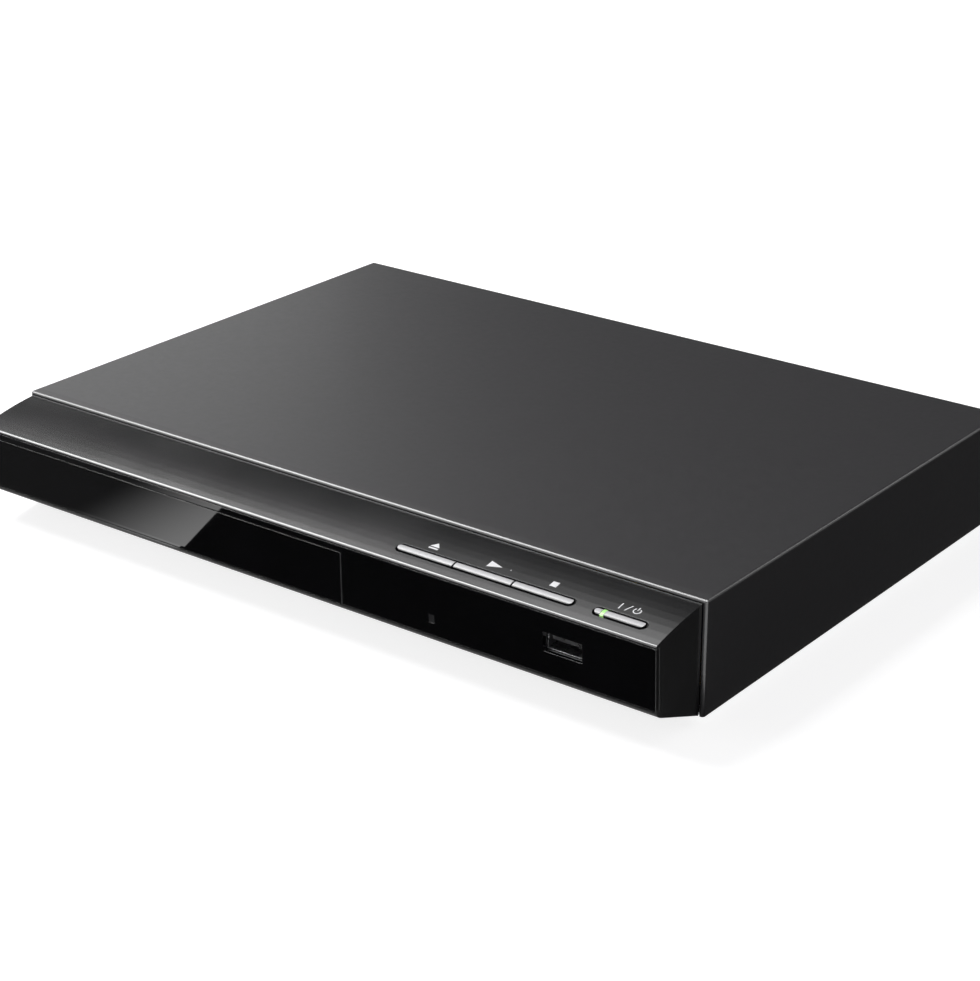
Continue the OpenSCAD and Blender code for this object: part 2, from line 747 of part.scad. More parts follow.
module tact_switches() color("#202022") {
    for (p = [[eject_x, 0], [play_x, 0], [stop_x, 0], [power_x, power_stem_x]]) on_slope(p[0]) {
        translate([p[1] - 3, -1.8, front_board_z]) cube([6, 3.6, switch_h]);
        translate([p[1], 0, front_board_z + switch_h - 0.01]) cylinder(r = 1.2,
            h = switch_plunger_h - key_travel - 0.02 + 0.01);
    }
}

module power_led() color("#a0f0a8") {
    on_slope(lens_x) {
        translate([0, 0, front_board_z]) cylinder(r = 1.45, h = 1.9);
        translate([0, 0, front_board_z + 1.8]) cylinder(r = 1, h = 0.9);
    }
}

// ---- rear sockets --------------------------------------------------------------------------

module hdmi_socket() color("silver") {
    z = board_z + board_t;
    y0 = main_y1 - 9;
    y1 = panel_y + sheet_t + 0.6;
    outline = [[-7.5, 0.3], [7.5, 0.3], [7.5, 6.2], [-7.5, 6.2]];
    mouth = [[-7, 5.7], [-7, 2.6], [-5.3, 1], [5.3, 1], [7, 2.6], [7, 5.7]];
    difference() {
        translate([hdmi_x, y1, z]) rotate([90, 0, 0]) linear_extrude(y1 - y0) polygon(outline);
        translate([hdmi_x, y1 + cut, z]) rotate([90, 0, 0]) linear_extrude(y1 - y0) polygon(mouth);
    }
    box([hdmi_x - 5.6, y0 + 0.5, z + 3.2], [hdmi_x + 5.6, y1 - 0.8, z + 4.3]);
}

module scart_socket() color("#18181a") {
    z = board_z + board_t;
    y0 = main_y1 - 16;
    y1 = panel_y + sheet_t + 1.4;
    shell = [[-24, 2], [21, 2], [24, 5], [24, 15.6], [-24, 15.6]];
    hollow = [[-23, 3], [20.6, 3], [23, 5.4], [23, 14.6], [-23, 14.6]];
    difference() {
        translate([scart_x, y1, z]) rotate([90, 0, 0]) linear_extrude(y1 - y0) polygon(shell);
        translate([scart_x, y1 + cut, z]) rotate([90, 0, 0]) linear_extrude(y1 - y0 - 3)
            polygon(hollow);
    }
    difference() {
        box([scart_x - 21, y0 + 4, z + 5], [scart_x + 21, y1 - 2, z + 12.6]);
        for (k = [0 : 9], row = [0, 1]) box(
            [scart_x - 19.4 + 3.8 * k + 1.9 * row, y1 - 9, z + 6.2 + 3.6 * row],
            [scart_x - 17.8 + 3.8 * k + 1.9 * row, y1, z + 7.8 + 3.6 * row]);
    }
    box([scart_x - 23, y0, z], [scart_x + 23, y0 + 12, z + 2]);
}

function jack_centres() = [for (i = [-1, 1], row = [0, 1]) [jack_x + i * jack_pitch / 2,
    jack_z + row * jack_pitch]];

module jack_block() color("#1a1a1c") {
    difference() {
        box([jack_x - 12, main_y1 - 12, board_z + board_t], [jack_x + 12, panel_y + sheet_t + 0.8,
            jack_z + jack_pitch + 6.2]);
        for (p = jack_centres()) translate([p[0], main_y1 - 2, p[1]]) rotate([-90, 0, 0])
            cylinder(r = 4.9, h = 10);
    }
}

module jack_barrels() color("silver") {
    y0 = main_y1 - 1.9;
    y1 = y_rear + rear_out;
    ring_y = panel_y + sheet_t + 1.25;
    for (p = jack_centres()) translate([p[0], y0, p[1]]) rotate([-90, 0, 0]) difference() {
        union() {
            cylinder(r = barrel_r - 0.15, h = y1 - y0);
            translate([0, 0, ring_y - y0]) cylinder(r = barrel_r, h = y1 - ring_y);
        }
        translate([0, 0, 1]) cylinder(r = barrel_r - 0.5, h = y1 - y0);
    }
}

// Coloured insulators: one round each barrel's foot and one inside it
module jack_rings() color("gold") {
    y0 = main_y1 - 1.9;
    y1 = panel_y + sheet_t + 1.2;
    for (p = jack_centres()) {
        translate([p[0], y0, p[1]]) rotate([-90, 0, 0]) tube([0, 0, 0], 4.8, barrel_r + 0.05,
            y1 - y0);
        translate([p[0], y0 + 1.05, p[1]]) rotate([-90, 0, 0]) tube([0, 0, 0],
            barrel_r - 0.55, 1.6, y_rear + rear_out - y0 - 2);
    }
}

// Bush for the mains lead
module cord_gland() color("#161616") {
    translate([gland_x, panel_y - 5, gland_z]) rotate([-90, 0, 0]) difference() {
        rotate_extrude() polygon([[0, 0], [gland_r, 0], [gland_r, 4.9], [gland_r - 1.1, 4.9],
            [gland_r - 1.1, 5.1 + sheet_t], [gland_r, 5.1 + sheet_t], [gland_r - 0.8, 9.6],
            [0, 9.6]]);
        translate([0, 0, -cut]) cylinder(r = 3, h = 12);
    }
}

// ---- loader --------------------------------------------------------------------------------

// Loader base: walls with ledges and hooks for the tray, gear deck, motor cup, hinge ears, feet
module loader_base() color("#2a2a2c") {
    wall_top = bridge_z;
    low_y = y_cover + 6;
    ear_x = lift_half_w + 1.5;
    ear_t = 3.5;
    translate([disc_x, 0, 0]) difference() {
        union() {
            for (s = [-1, 1]) mirror([s < 0 ? 1 : 0, 0, 0]) {
                box([wall_in, base_y0, deck_z - 1.5], [wall_in + wall_t, base_y1, wall_top]);
                box([wall_in, low_y, z_floor + 1.5], [wall_in + wall_t, base_y1, deck_z]);
                box([wall_in - 2.3, base_y0, tray_flange_z - 2.3], [wall_in + 0.01, base_y1,
                    tray_flange_z - 0.2]);
                for (y = [base_y0 + 8, base_y0 + 70, base_y0 + 140]) box(
                    [wall_in - 2.1, y, tray_flange_z + tray_flange_t + 0.2],
                    [wall_in + 0.01, y + 10, tray_flange_z + tray_flange_t + 1.8]);
                for (y = loader_feet_y) {
                    rod([loader_foot_x, y, z_floor], 3.4, deck_z + deck_t - z_floor);
                    box([wall_in, y - 3.4, deck_z], [loader_foot_x, y + 3.4, deck_z + deck_t]);
                }
                for (y = [disc_y - 16, disc_y + 16]) rod([wall_in + wall_t + 1.6, y,
                    wall_top - 11], 2.8, 11);
                box([ear_x, hinge_y - 6, z_floor + 6], [ear_x + ear_t, base_y1, hinge_z + 4.4]);
            }
            box([-wall_in - 0.01, base_y0, deck_z], [wall_in + 0.01, deck_y1, deck_z + deck_t]);
            box([-wall_in - 0.01, base_y1 - 5, z_floor + 5], [wall_in + 0.01, base_y1,
                z_floor + 15]);
            rod([motor_x - disc_x, motor_y, deck_z], motor_r + 1.9, motor_deck_z - deck_z + 1.4);
            rod([drive_x - disc_x, drive_y, deck_z], 1.95, belt_z + 2.8 - deck_z);
            rod([drive_x - disc_x, drive_y, deck_z], 4, deck_t + 0.5);
            rod([belt_gear_x - disc_x, belt_gear_y, deck_z], 1.45, belt_z + 2.3 - deck_z);
            rod([belt_gear_x - disc_x, belt_gear_y, deck_z], 3, deck_t + 0.5);
            for (u = [4, -26]) {
                box([u, deck_y1 - 4, deck_z], [u + 7, deck_y1 - 2.6, slider_flange_z() + 2.5]);
                box([u, deck_y1 - 4, slider_flange_z() + 1.6], [u + 7, deck_y1 - 1.2,
                    slider_flange_z() + 2.5]);
            }
        }
        rod([motor_x - disc_x, motor_y, deck_z - cut], motor_r + 0.3, motor_deck_z - deck_z + cut);
        rod([motor_x - disc_x, motor_y, deck_z], 3.4, 10);
        for (s = [-1, 1]) {
            rod([motor_x - disc_x + s * 6.5, motor_y, deck_z], 1.3, 10);
            for (y = loader_feet_y) rod([s * loader_foot_x, y, z_base], 1.5,
                deck_z + deck_t - z_base + cut);
            for (y = [disc_y - 16, disc_y + 16]) rod([s * (wall_in + wall_t + 1.6), y,
                wall_top - 8], 1.2, 8 + cut);
        }
        translate([-ear_x - ear_t - cut, hinge_y, hinge_z]) rotate([0, 90, 0])
            cylinder(r = hinge_r + run, h = 2 * (ear_x + ear_t + cut));
    }
}

function slider_flange_z() = deck_z + deck_t + 0.2;

// Bridge over the tray that carries the clamper
module clamper_bridge() color("silver") {
    half_d = 21;
    x = wall_in + wall_t + 4;
    translate([disc_x, 0, 0]) difference() {
        union() {
            box([-x, disc_y - half_d, bridge_z], [x, disc_y + half_d, bridge_z + bridge_t]);
            for (s = [-1, 1]) box([-x + 12, disc_y + s * half_d - 0.5, bridge_z],
                [x - 12, disc_y + s * half_d + 0.5, bridge_z + 4]);
        }
        rod([0, disc_y, bridge_z - cut], bridge_hole_r, bridge_t + 2 * cut);
        for (s = [-1, 1], y = [disc_y - 16, disc_y + 16]) rod([s * (wall_in + wall_t + 1.6), y,
            bridge_z - cut], 1.5, bridge_t + 2 * cut);
    }
}

// Clamper: lower disc under the bridge, neck through its hole
module clamper() color("#d0d0d0") {
    translate([disc_x, disc_y, 0]) difference() {
        rotate_extrude() polygon([[0, bridge_z - 1], [15.5, bridge_z - 1], [15.5, bridge_z - 0.25],
            [bridge_hole_r - 0.8, bridge_z - 0.25], [bridge_hole_r - 0.8, bridge_z + bridge_t + 0.25],
            [0, bridge_z + bridge_t + 0.25]]);
        rod([0, 0, bridge_z - 1 - cut], 8.4, cut + 1.6);
        tube([0, 0, bridge_z + 0.9], 11, 8.6, 5);
    }
}

// Cap snapped on the clamper's neck, with its yoke ring
module clamper_cap() color("#b8b8bc") {
    z = bridge_z + bridge_t + 0.25;
    translate([disc_x, disc_y, 0]) {
        difference() {
            rod([0, 0, z], 16, 1.2);
            rod([0, 0, z - cut], 4, 3);
        }
        tube([0, 0, z - 0.7], 10.9, 8.7, 0.8);
    }
}

module loading_motor() color("silver") {
    translate([motor_x, motor_y, 0]) {
        difference() {
            rod([0, 0, motor_deck_z - motor_h], motor_r, motor_h - 0.01);
            for (s = [-1, 1]) rod([s * 6.5, 0, motor_deck_z - 3], 1, 4);
        }
        rod([0, 0, motor_deck_z - 0.01], 3.2, 1.2);
        rod([0, 0, motor_deck_z], 1, belt_z + 2.8 - motor_deck_z);
        for (s = [-1, 1]) box([s * 6 - 1, -motor_r + 2, motor_deck_z - motor_h - 0.3],
            [s * 6 + 1, -motor_r + 5, motor_deck_z - motor_h + 0.1]);
    }
}

module motor_pulley() color("#c8a040") {
    translate([motor_x, motor_y, belt_z]) difference() {
        pulley(motor_pulley_r, pulley_h);
        rod([0, 0, -cut], 1 + run, pulley_h + 2 * cut);
    }
}

module drive_belt() color("#141414") {
    a = [belt_gear_x, belt_gear_y];
    b = [motor_x, motor_y];
    gap = 0.08;
    translate([0, 0, belt_z + 0.6]) linear_extrude(pulley_h - 1.2) difference() {
        polygon(belt_points(a, big_pulley_r + gap + 1, b, motor_pulley_r + gap + 1));
        polygon(belt_points(a, big_pulley_r + gap, b, motor_pulley_r + gap));
    }
}

module pulley_gear() color("#e0e0d8") {
    z0 = deck_z + deck_t + 0.7;
    phase = belt_gear_angle + 180 + 180 / belt_pinion_teeth;
    translate([belt_gear_x, belt_gear_y, 0]) difference() {
        union() {
            translate([0, 0, z0]) gear(belt_pinion_teeth, wheel_mod, belt_z - z0 + 0.01, phase);
            translate([0, 0, belt_z]) pulley(big_pulley_r, pulley_h);
        }
        rod([0, 0, z0 - cut], 1.45 + run, 20);
    }
}

module drive_gear() color("#e8e8e0") {
    z0 = deck_z + deck_t + 0.8;
    wheel_h = 2.6;
    translate([drive_x, drive_y, 0]) difference() {
        union() {
            translate([0, 0, z0]) gear(big_wheel_teeth, wheel_mod, wheel_h, belt_gear_angle);
            translate([0, 0, z0 + wheel_h - 0.01]) cylinder(r = 6, h = rack_z - z0 - wheel_h + 0.02);
            translate([0, 0, rack_z]) gear(rack_wheel_teeth, rack_mod, 3.4);
        }
        rod([0, 0, z0 - cut], 1.95 + run, 20);
    }
}

// Slider whose two cam slots raise and lower the traverse's front
module cam_slider() color("#e8e8e8") {
    slot_r = cam_pin_r + 0.35;
    low = pin_low();
    rise = cam_pin_z - low[1];
    angle = atan2(rise, cam_travel);
    translate([disc_x, 0, 0]) {
        difference() {
            box([-27, slider_y0 - slider_t / 2, slider_z0], [36, slider_y0 + slider_t / 2,
                slider_z1]);
            for (u = [-22, 9]) translate([u, slider_y0 + slider_t, 0]) rotate([90, 0, 0])
                linear_extrude(2 * slider_t) {
                    translate([0, low[1]]) circle(r = slot_r);
                    translate([cam_travel, cam_pin_z]) circle(r = slot_r);
                    translate([0, low[1]]) rotate(angle) translate([0, 0.02 - slot_r])
                        square([norm([rise, cam_travel]), 2 * slot_r - 0.04]);
                }
        }
        box([-27, deck_y1 - 1.8, slider_flange_z()], [36, slider_y0 - slider_t / 2 + 0.01,
            slider_flange_z() + 1.2]);
    }
}

// Place of the lowered cam pins in YZ
function pin_low() =
    let (dy = cam_pin_y - hinge_y, dz = cam_pin_z - hinge_z)
    [hinge_y + dy * cos(tilt) - dz * sin(tilt), hinge_z + dy * sin(tilt) + dz * cos(tilt)];

// Tray: plate with two disc recesses and a keyhole slot, running flanges, ribs and rack
module disc_tray() color("#2c2c2e") {
    y1 = tray_y0 + tray_l;
    w = tray_w / 2;
    count = round((tray_travel + 8) / (PI * rack_mod));
    translate([disc_x, 0, 0]) {
        difference() {
            union() {
                box([-w, tray_y0, tray_bottom], [w, y1, tray_top]);
                box([-w - tray_flange_w, tray_y0 + 6, tray_flange_z], [w + tray_flange_w, y1,
                    tray_flange_z + tray_flange_t]);
                for (s = [-1, 1]) box([s > 0 ? w - tray_rib_t : -w, tray_y0, tray_bottom
                    - tray_rib_h], [s > 0 ? w : -w + tray_rib_t, y1, tray_bottom + 0.01]);
            }
            rod([0, disc_y, recess_z], recess_r, 10);
            rod([0, disc_y, small_recess_z], small_recess_r, 10);
            rod([0, disc_y, tray_bottom - cut], slot_r, 10);
            box([-slot_w / 2, disc_y, tray_bottom - cut], [slot_w / 2, slot_end, tray_top + cut]);
            // finger hollows at the sides and the plain rear deck
            for (s = [-1, 1]) rod([s * (w + 3), disc_y - 34, recess_z], 18, 10);
            box([-w + 6, disc_y + recess_r - 6, recess_z], [w - 6, y1 - 6, tray_top + cut]);
        }
    }
    translate([rack_pitch_x, 0, rack_z]) linear_extrude(tray_bottom - rack_z + 0.01)
        polygon(rack_points(rack_mod, count, drive_y + tray_travel / 2 + rack_shift(count), 3.6));
}

// Shift that puts a space of the rack opposite the drive gear at rest
function rack_shift(count) =
    let (p = PI * rack_mod, first = drive_y + tray_travel / 2 - p * count / 2,
        steps = (drive_y - first) / p)
    p * (steps - floor(steps));

module tray_door() color("#08080a") {
    skin = 1.6;
    rim = 1.8;
    difference() {
        intersection() {
            along_x(door_x0, door_x0 + door_w) polygon(panel_outline());
            box([door_x0 - cut, y_front - cut, face_low], [door_x0 + door_w + cut, tray_y0,
                door_top]);
        }
        intersection() {
            translate([0, skin, 0]) along_x(door_x0 + rim, door_x0 + door_w - rim)
                polygon(panel_outline(0, slope_rear[0] + 2));
            box([door_x0, y_front, face_low + rim], [door_x0 + door_w, tray_y0 + cut,
                tray_bottom - tray_rib_h - 1]);
        }
    }
    for (u = [-48, -16, 16, 48]) box([disc_x + u - 4, tray_y0 - 1, tray_bottom - 2],
        [disc_x + u + 4, tray_y0 + 9, tray_bottom - 0.2]);
}

// ---- traverse ------------------------------------------------------------------------------

// Lift frame: hinged at the rear, cam pins at the front
module lift_frame() color("#3c3c40") {
    z0 = hinge_z - lift_t / 2;
    y1 = hinge_y + 3;
    lowered() {
        difference() {
            box([-lift_half_w, lift_y0, z0], [lift_half_w, y1, z0 + lift_t]);
            box([-lift_half_w + lift_rail, lift_y0 + 5, z0 - cut], [lift_half_w - lift_rail,
                hinge_y - 7, z0 + lift_t + cut]);
            for (p = damper_places()) rod([p[0], p[1], z0 + 0.8], 1, lift_t);
        }
        for (s = [-1, 1]) translate([s > 0 ? lift_half_w - 1 : -lift_half_w - 4.2, hinge_y,
            hinge_z]) rotate([0, 90, 0]) cylinder(r = hinge_r, h = 5.2);
        for (u = [-22, 9]) translate([u, lift_y0 + 1, cam_pin_z]) rotate([90, 0, 0])
            cylinder(r = cam_pin_r, h = lift_y0 + 1 - slider_y0 + slider_t / 2 - 0.2);
    }
}

function damper_places() = [for (s = [-1, 1], y = [lift_y0 + 12, hinge_y - 16])
    [s * (lift_half_w - lift_rail / 2), y]];

ear_z = hinge_z + lift_t / 2 + 1.1;
ear_plate_t = 1.4;

// Traverse frame: plate with pickup window, rod blocks and damper ears
module traverse_frame() color("#9a9aa0") {
    x = lift_half_w - lift_rail - 1.6;
    y0 = lift_y0 + 6.5;
    y1 = hinge_y - 9;
    lowered() difference() {
        union() {
            box([-x, y0, plate_z], [x, y1, plate_z + plate_t]);
            for (s = [-1, 1], y = [rod_y0 - 4.4, rod_y1]) box([s * rod_x - 3.2, y, plate_z],
                [s * rod_x + 3.2, y + 4.4, rod_z + 2.6]);
            for (p = damper_places()) {
                rod([p[0], p[1], ear_z], 5, ear_plate_t);
                box([p[0] > 0 ? x - 2 : p[0], p[1] - 4, ear_z], [p[0] > 0 ? p[0] : -x + 2,
                    p[1] + 4, ear_z + ear_plate_t]);
                box([p[0] > 0 ? x - 2 : -x, p[1] - 4, plate_z], [p[0] > 0 ? x : -x + 2,
                    p[1] + 4, ear_z + ear_plate_t]);
            }
        }
        box([-20.5, disc_y + 14, plate_z - cut], [20.5, rod_y1 - 1, plate_z + plate_t + cut]);
        rod([0, disc_y, plate_z - cut], 8, plate_t + 2 * cut);
        for (p = damper_places()) rod([p[0], p[1], ear_z - cut], 2.5, 4);
        for (s = [-1, 1]) translate([s * rod_x, rod_y0 - 3, rod_z]) rotate([-90, 0, 0])
            cylinder(r = rod_r + 0.03, h = rod_y1 - rod_y0 + 6);
        rod([sled_gear_u, sled_gear_y + sled_dist, plate_z - cut], 2.6, plate_t + 2 * cut);
    }
}

module dampers() color("#8a3030") {
    lowered() for (p = damper_places()) translate([p[0], p[1], hinge_z + lift_t / 2]) difference() {
        rotate_extrude() polygon([[0, 0], [4, 0], [4, 1.02], [2.4, 1.02], [2.4, 1.08 + ear_plate_t
            + 0.06], [4, 1.08 + ear_plate_t + 0.06], [4, 3.4], [0, 3.4]]);
        rod([0, 0, -cut], 1.2, 6);
    }
}

// Spindle motor: mounting plate, bearing and winding core
module spindle_motor() color("#b0b0b4") {
    z = plate_z + plate_t;
    lowered() translate([0, disc_y, 0]) difference() {
        union() {
            box([-14, -9.5, z], [14, 11.5, z + 1]);
            rod([0, 0, z - 3], 3, 5.5);
            tube([0, 0, z + 1.4], 9.6, 3.5, 3);
            tube([0, 0, z + 0.9], 4, 2.5, 0.8);
        }
        rod([0, 0, z - 2.6], 0.75 + run, 12);
    }
}

module spindle_rotor() color("silver") {
    z = plate_z + plate_t;
    top = disc_up_z - 3.4;
    lowered() translate([0, disc_y, 0]) {
        rod([0, 0, z - 2.4], 0.75, top - z + 3.4);
        difference() {
            rod([0, 0, z + 1.6], 11.8, top - z - 1.6);
            rod([0, 0, z + 1.6 - cut], 11, top - z - 2.4 + cut);
        }
    }
}

module turntable() color("#303034") {
    z0 = disc_up_z - 3.3;
    lowered() translate([0, disc_y, 0]) difference() {
        rotate_extrude() polygon([[0, z0], [turntable_r, z0], [turntable_r, disc_up_z - 0.6],
            [9.5, disc_up_z - 0.6], [7.42, disc_up_z - 0.2], [7.42, disc_up_z + 1], [6.2,
            disc_up_z + 2.2], [0, disc_up_z + 2.2]]);
        rod([0, 0, z0 - cut], 0.8, cut + 1.2);
        tube([0, 0, disc_up_z + 1.4], 4.8, 2.2, 3);
    }
}

module turntable_pad() color("#101010") {
    lowered() tube([0, disc_y, disc_up_z - 0.6], turntable_r - 0.2, 9.7, 0.6);
}

module guide_rods() color("silver") {
    lowered() for (s = [-1, 1]) translate([s * rod_x, rod_y0 - 2.8, rod_z]) rotate([-90, 0, 0])
        cylinder(r = rod_r, h = rod_y1 - rod_y0 + 5.4);
}

// Pickup body: base between the rods with a bushed side and a slotted side
module pickup_body() color("#8c8c92") {
    y0 = disc_y + lens_r0 - 7;
    y1 = y0 + 34;
    top = lens_up_z - 3;
    lowered() difference() {
        union() {
            box([-19, y0, plate_z + 0.4], [19, y1, top]);
            box([-27, y0, plate_z + plate_t + 0.6], [27, y1, top]);
        }
        for (s = [-1, 1]) translate([s * rod_x, y0 - cut, rod_z]) rotate([-90, 0, 0])
            cylinder(r = rod_r + run, h = 36);
        box([rod_x, y0 - cut, rod_z - rod_r - run], [30, y1 + cut, rod_z + rod_r + run]);
        box([-7.3, y0 + 2.1, lens_up_z - 5], [7.3, y0 + 13.3, top + cut]);
        rod([0, disc_y, plate_z], turntable_r + 1.2, 20);
    }
}

// Rack on the pickup's left side
module pickup_rack() color("#e4e4dc") {
    y0 = disc_y + lens_r0 - 7;
    z = rod_z - 0.4;
    count = ceil((pickup_travel + 3) / (PI * sled_mod));
    lowered() {
        translate([sled_rack_u, 0, z]) linear_extrude(1.6) polygon([for (p = rack_points(sled_mod,
            count, sled_gear_y - pickup_travel / 2 + pickup_rack_shift(count), 2.4))
            p]);
        box([sled_rack_u + 2.2, y0 + 1, z], [-27.02, y0 + 33, z + 1.6]);
    }
}

function pickup_rack_shift(count) =
    let (p = PI * sled_mod, first = -pickup_travel / 2 - p * count / 2, steps = -first / p)
    p * (steps - floor(steps));

module lens_holder() color("#d8d8dc") {
    y = disc_y + lens_r0;
    z = lens_up_z;
    lowered() difference() {
        box([-7, y - 4.6, z - 4], [7, y + 6, z - 0.7]);
        rod([0, y, z - 5], 2.3, 10);
        box([-4.5, y + 2.9, z - 5], [4.5, y + 4.6, z]);
    }
}

module objective_lens() color("#a8c8f0") {
    lowered() translate([0, disc_y + lens_r0, lens_up_z - 2.2]) rotate_extrude() polygon(
        concat([[0, 0], [2.25, 0], [2.25, 1.2]], [for (i = [0 : 6]) [2.2 * cos(i * 15),
            1.3 + 0.9 * sin(i * 15)]]));
}

module sled_motor() color("silver") {
    z = plate_z - 0.05;
    lowered() translate([sled_gear_u, sled_gear_y + sled_dist, 0]) {
        rod([0, 0, z - 6], 7, 6);
        rod([0, 0, z - 0.01], 2.3, plate_t + 0.3);
        rod([0, 0, z], 0.5, rod_z - z - 0.6);
    }
}

module sled_pinion() color("#e4e4dc") {
    z = plate_z + plate_t + 0.4;
    lowered() translate([sled_gear_u, sled_gear_y + sled_dist, z]) difference() {
        gear(sled_pinion_teeth, sled_mod, 2.2, 90 + 180 / sled_pinion_teeth);
        rod([0, 0, -cut], 0.5 + run, 5);
    }
}

// Double gear between the sled motor and the pickup's rack, with its axle pin
module sled_gear() color("#e4e4dc") {
    z = plate_z + plate_t + 0.5;
    lowered() translate([sled_gear_u, sled_gear_y, z]) difference() {
        union() {
            gear(sled_gear_teeth, sled_mod, 1.9, 90);
            translate([0, 0, 1.89]) gear(sled_small_teeth, sled_mod, rod_z + 1.4 - z - 1.89);
        }
        rod([0, 0, -cut], 1 + run, 10);
    }
}

// ---- electronics ---------------------------------------------------------------------------

module board(x0, y0, x1, y1, posts) {
    difference() {
        box([x0, y0, board_z], [x1, y1, board_z + board_t]);
        for (p = posts) rod([p[0], p[1], board_z - cut], board_screw_r + 0.2, board_t + 2 * cut);
    }
}

module main_board() color("#1d4a2c") board(main_x0, main_y0, main_x1, main_y1, main_posts);

module power_board() color("#8a6a30") board(main_x0, power_y0, power_x1, power_y1, power_posts);

function board_top() = board_z + board_t;

module chip(x, y, l, w, h) {
    box([x - l / 2, y - w / 2, board_top() + 0.1], [x + l / 2, y + w / 2, board_top() + h]);
    for (s = [-1, 1]) box([x - l / 2 + 0.8, y + s * (w / 2 + 0.4) - 0.5, board_top()],
        [x + l / 2 - 0.8, y + s * (w / 2 + 0.4) + 0.5, board_top() + 0.3]);
}

module main_chips() color("#18181a") {
    chip(main_x0 + 0.48 * main_w, main_y0 + 24, 24, 24, 2);
    chip(main_x0 + 0.775 * main_w, main_y0 + 26, 10, 22, 1.4);
    chip(main_x0 + 16, main_y0 + 18, 8, 12, 1.6);
    chip(main_x0 + 15.5, main_y0 + 34, 14, 9, 2.2);
}

// Plug housings on both boards
module connectors() color("#e8e4d4") {
    for (p = [[main_x0 + 10, main_y0 + 4, 12], [ribbon_x - 1, main_y0 + 4, ribbon_w + 2],
        [main_x0 + 0.47 * main_w, main_y0 + 4, 18], [main_x0 + 0.78 * main_w, main_y0 + 4, 8],
        [main_x0 + power_w / 2, power_y1 - 5, 18], [power_x1 - 24, power_y1 - 8, 8]])
        difference() {
            box([p[0], p[1] - 2.4, board_top()], [p[0] + p[2], p[1] + 2.4, board_top() + 6]);
            box([p[0] + 0.8, p[1] - 1.6, board_top() + 1.5], [p[0] + p[2] - 0.8, p[1] + 1.6,
                board_top() + 6 + cut]);
        }
}

module transformer() color("#e0c040") {
    x = main_x0 + 0.56 * power_w;
    y = power_y0 + 42;
    z = board_top();
    box([x - 13, y - 12, z + 3], [x + 13, y + 12, z + 5]);
    box([x - 8, y - 9, z + 4.9], [x + 8, y + 9, z + 15.1]);
    box([x - 13, y - 12, z + 15], [x + 13, y + 12, z + 17]);
    for (s = [-1, 1]) box([x + s * 10 - 2.6, y - 7, z + 5.05], [x + s * 10 + 2.6, y + 7,
        z + 14.95]);
    for (s = [-1, 1]) box([x - 12, y + s * 10.5 - 1, z], [x + 12, y + s * 10.5 + 1, z + 3.01]);
}

module capacitors() color("#203050") {
    z = board_top();
    rod([main_x0 + 0.82 * power_w, power_y0 + 30, z], 8, 23);
    for (k = [0 : 2]) rod([main_x0 + 18, power_y0 + 20 + 18 * k, z], 4.5, 14);
    for (k = [0 : 1]) rod([main_x0 + 8, power_y0 + 28 + 20 * k, z], 4, 11);
    for (k = [0 : 2]) rod([main_x1 - 9, main_y0 + 14 + 8 * k, z], 2.5, 7);
}

module heat_sink() color("#b8b8bc") {
    z = board_top();
    x = power_x1 - 30;
    y = power_y0 + 66;
    box([x - 16, y, z], [x + 16, y + 2, z + 18]);
    for (k = [0 : 5]) box([x - 15.5 + 6 * k, y + 1.99, z + 2], [x - 14.5 + 6 * k, y + 9, z + 18]);
}

// Screws of the boards, the loader's feet and bridge, the motor and the dampers
module inner_screws() color("#c8c8cc") {
    for (p = concat(main_posts, power_posts)) pan_screw([p[0], p[1], board_top()], board_screw_r,
        board_t + 4, 2.6, 1.8);
    for (s = [-1, 1]) {
        for (y = loader_feet_y) pan_screw([disc_x + s * loader_foot_x, y, deck_z + deck_t],
            board_screw_r, deck_z + deck_t - z_base, 2.6, 1.8);
        for (y = [disc_y - 16, disc_y + 16]) pan_screw([disc_x + s * (wall_in + wall_t + 1.6), y,
            bridge_z + bridge_t], 1.15, 7, 2.4, 1.6);
    }
}

// Flat cable from the main board over the power board and up to the key board
module ribbon_cables() color("#f0f0ea") {
    t = 0.3;
    z = board_top() + 3.4;
    y0 = y_cover - 4;
    box([ribbon_x, y0, z], [ribbon_x + ribbon_w, main_y0 + 1.55, z + t]);
    box([ribbon_x, y0, z], [ribbon_x + ribbon_w, y0 + t, front_board_low(ribbon_x, y0) - 0.1]);
}

top_cover();
bottom_chassis();
rear_panel();
front_panel();
front_fascia();
remote_window();
power_lens();
eject_button();
play_button();
stop_button();
power_button();
usb_socket();
feet();
cover_screws();
hdmi_socket();
scart_socket();
jack_block();
jack_barrels();
jack_rings();
cord_gland();
loader_base();
clamper_bridge();
clamper();
clamper_cap();
loading_motor();
motor_pulley();
drive_belt();
pulley_gear();
drive_gear();
cam_slider();
disc_tray();
tray_door();
lift_frame();
traverse_frame();
dampers();
spindle_motor();
spindle_rotor();
turntable();
turntable_pad();
guide_rods();
pickup_body();
pickup_rack();
lens_holder();
objective_lens();
sled_motor();
sled_pinion();
sled_gear();
main_board();
main_chips();
connectors();
power_board();
transformer();
capacitors();
heat_sink();
front_boards();
tact_switches();
remote_receiver();
power_led();
inner_screws();
ribbon_cables();
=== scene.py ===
"""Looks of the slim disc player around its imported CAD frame. Metres, +Z up, the front faces -Y."""

import math

import bmesh
import bpy
from mathutils import Matrix, Vector
from mathutils.bvhtree import BVHTree


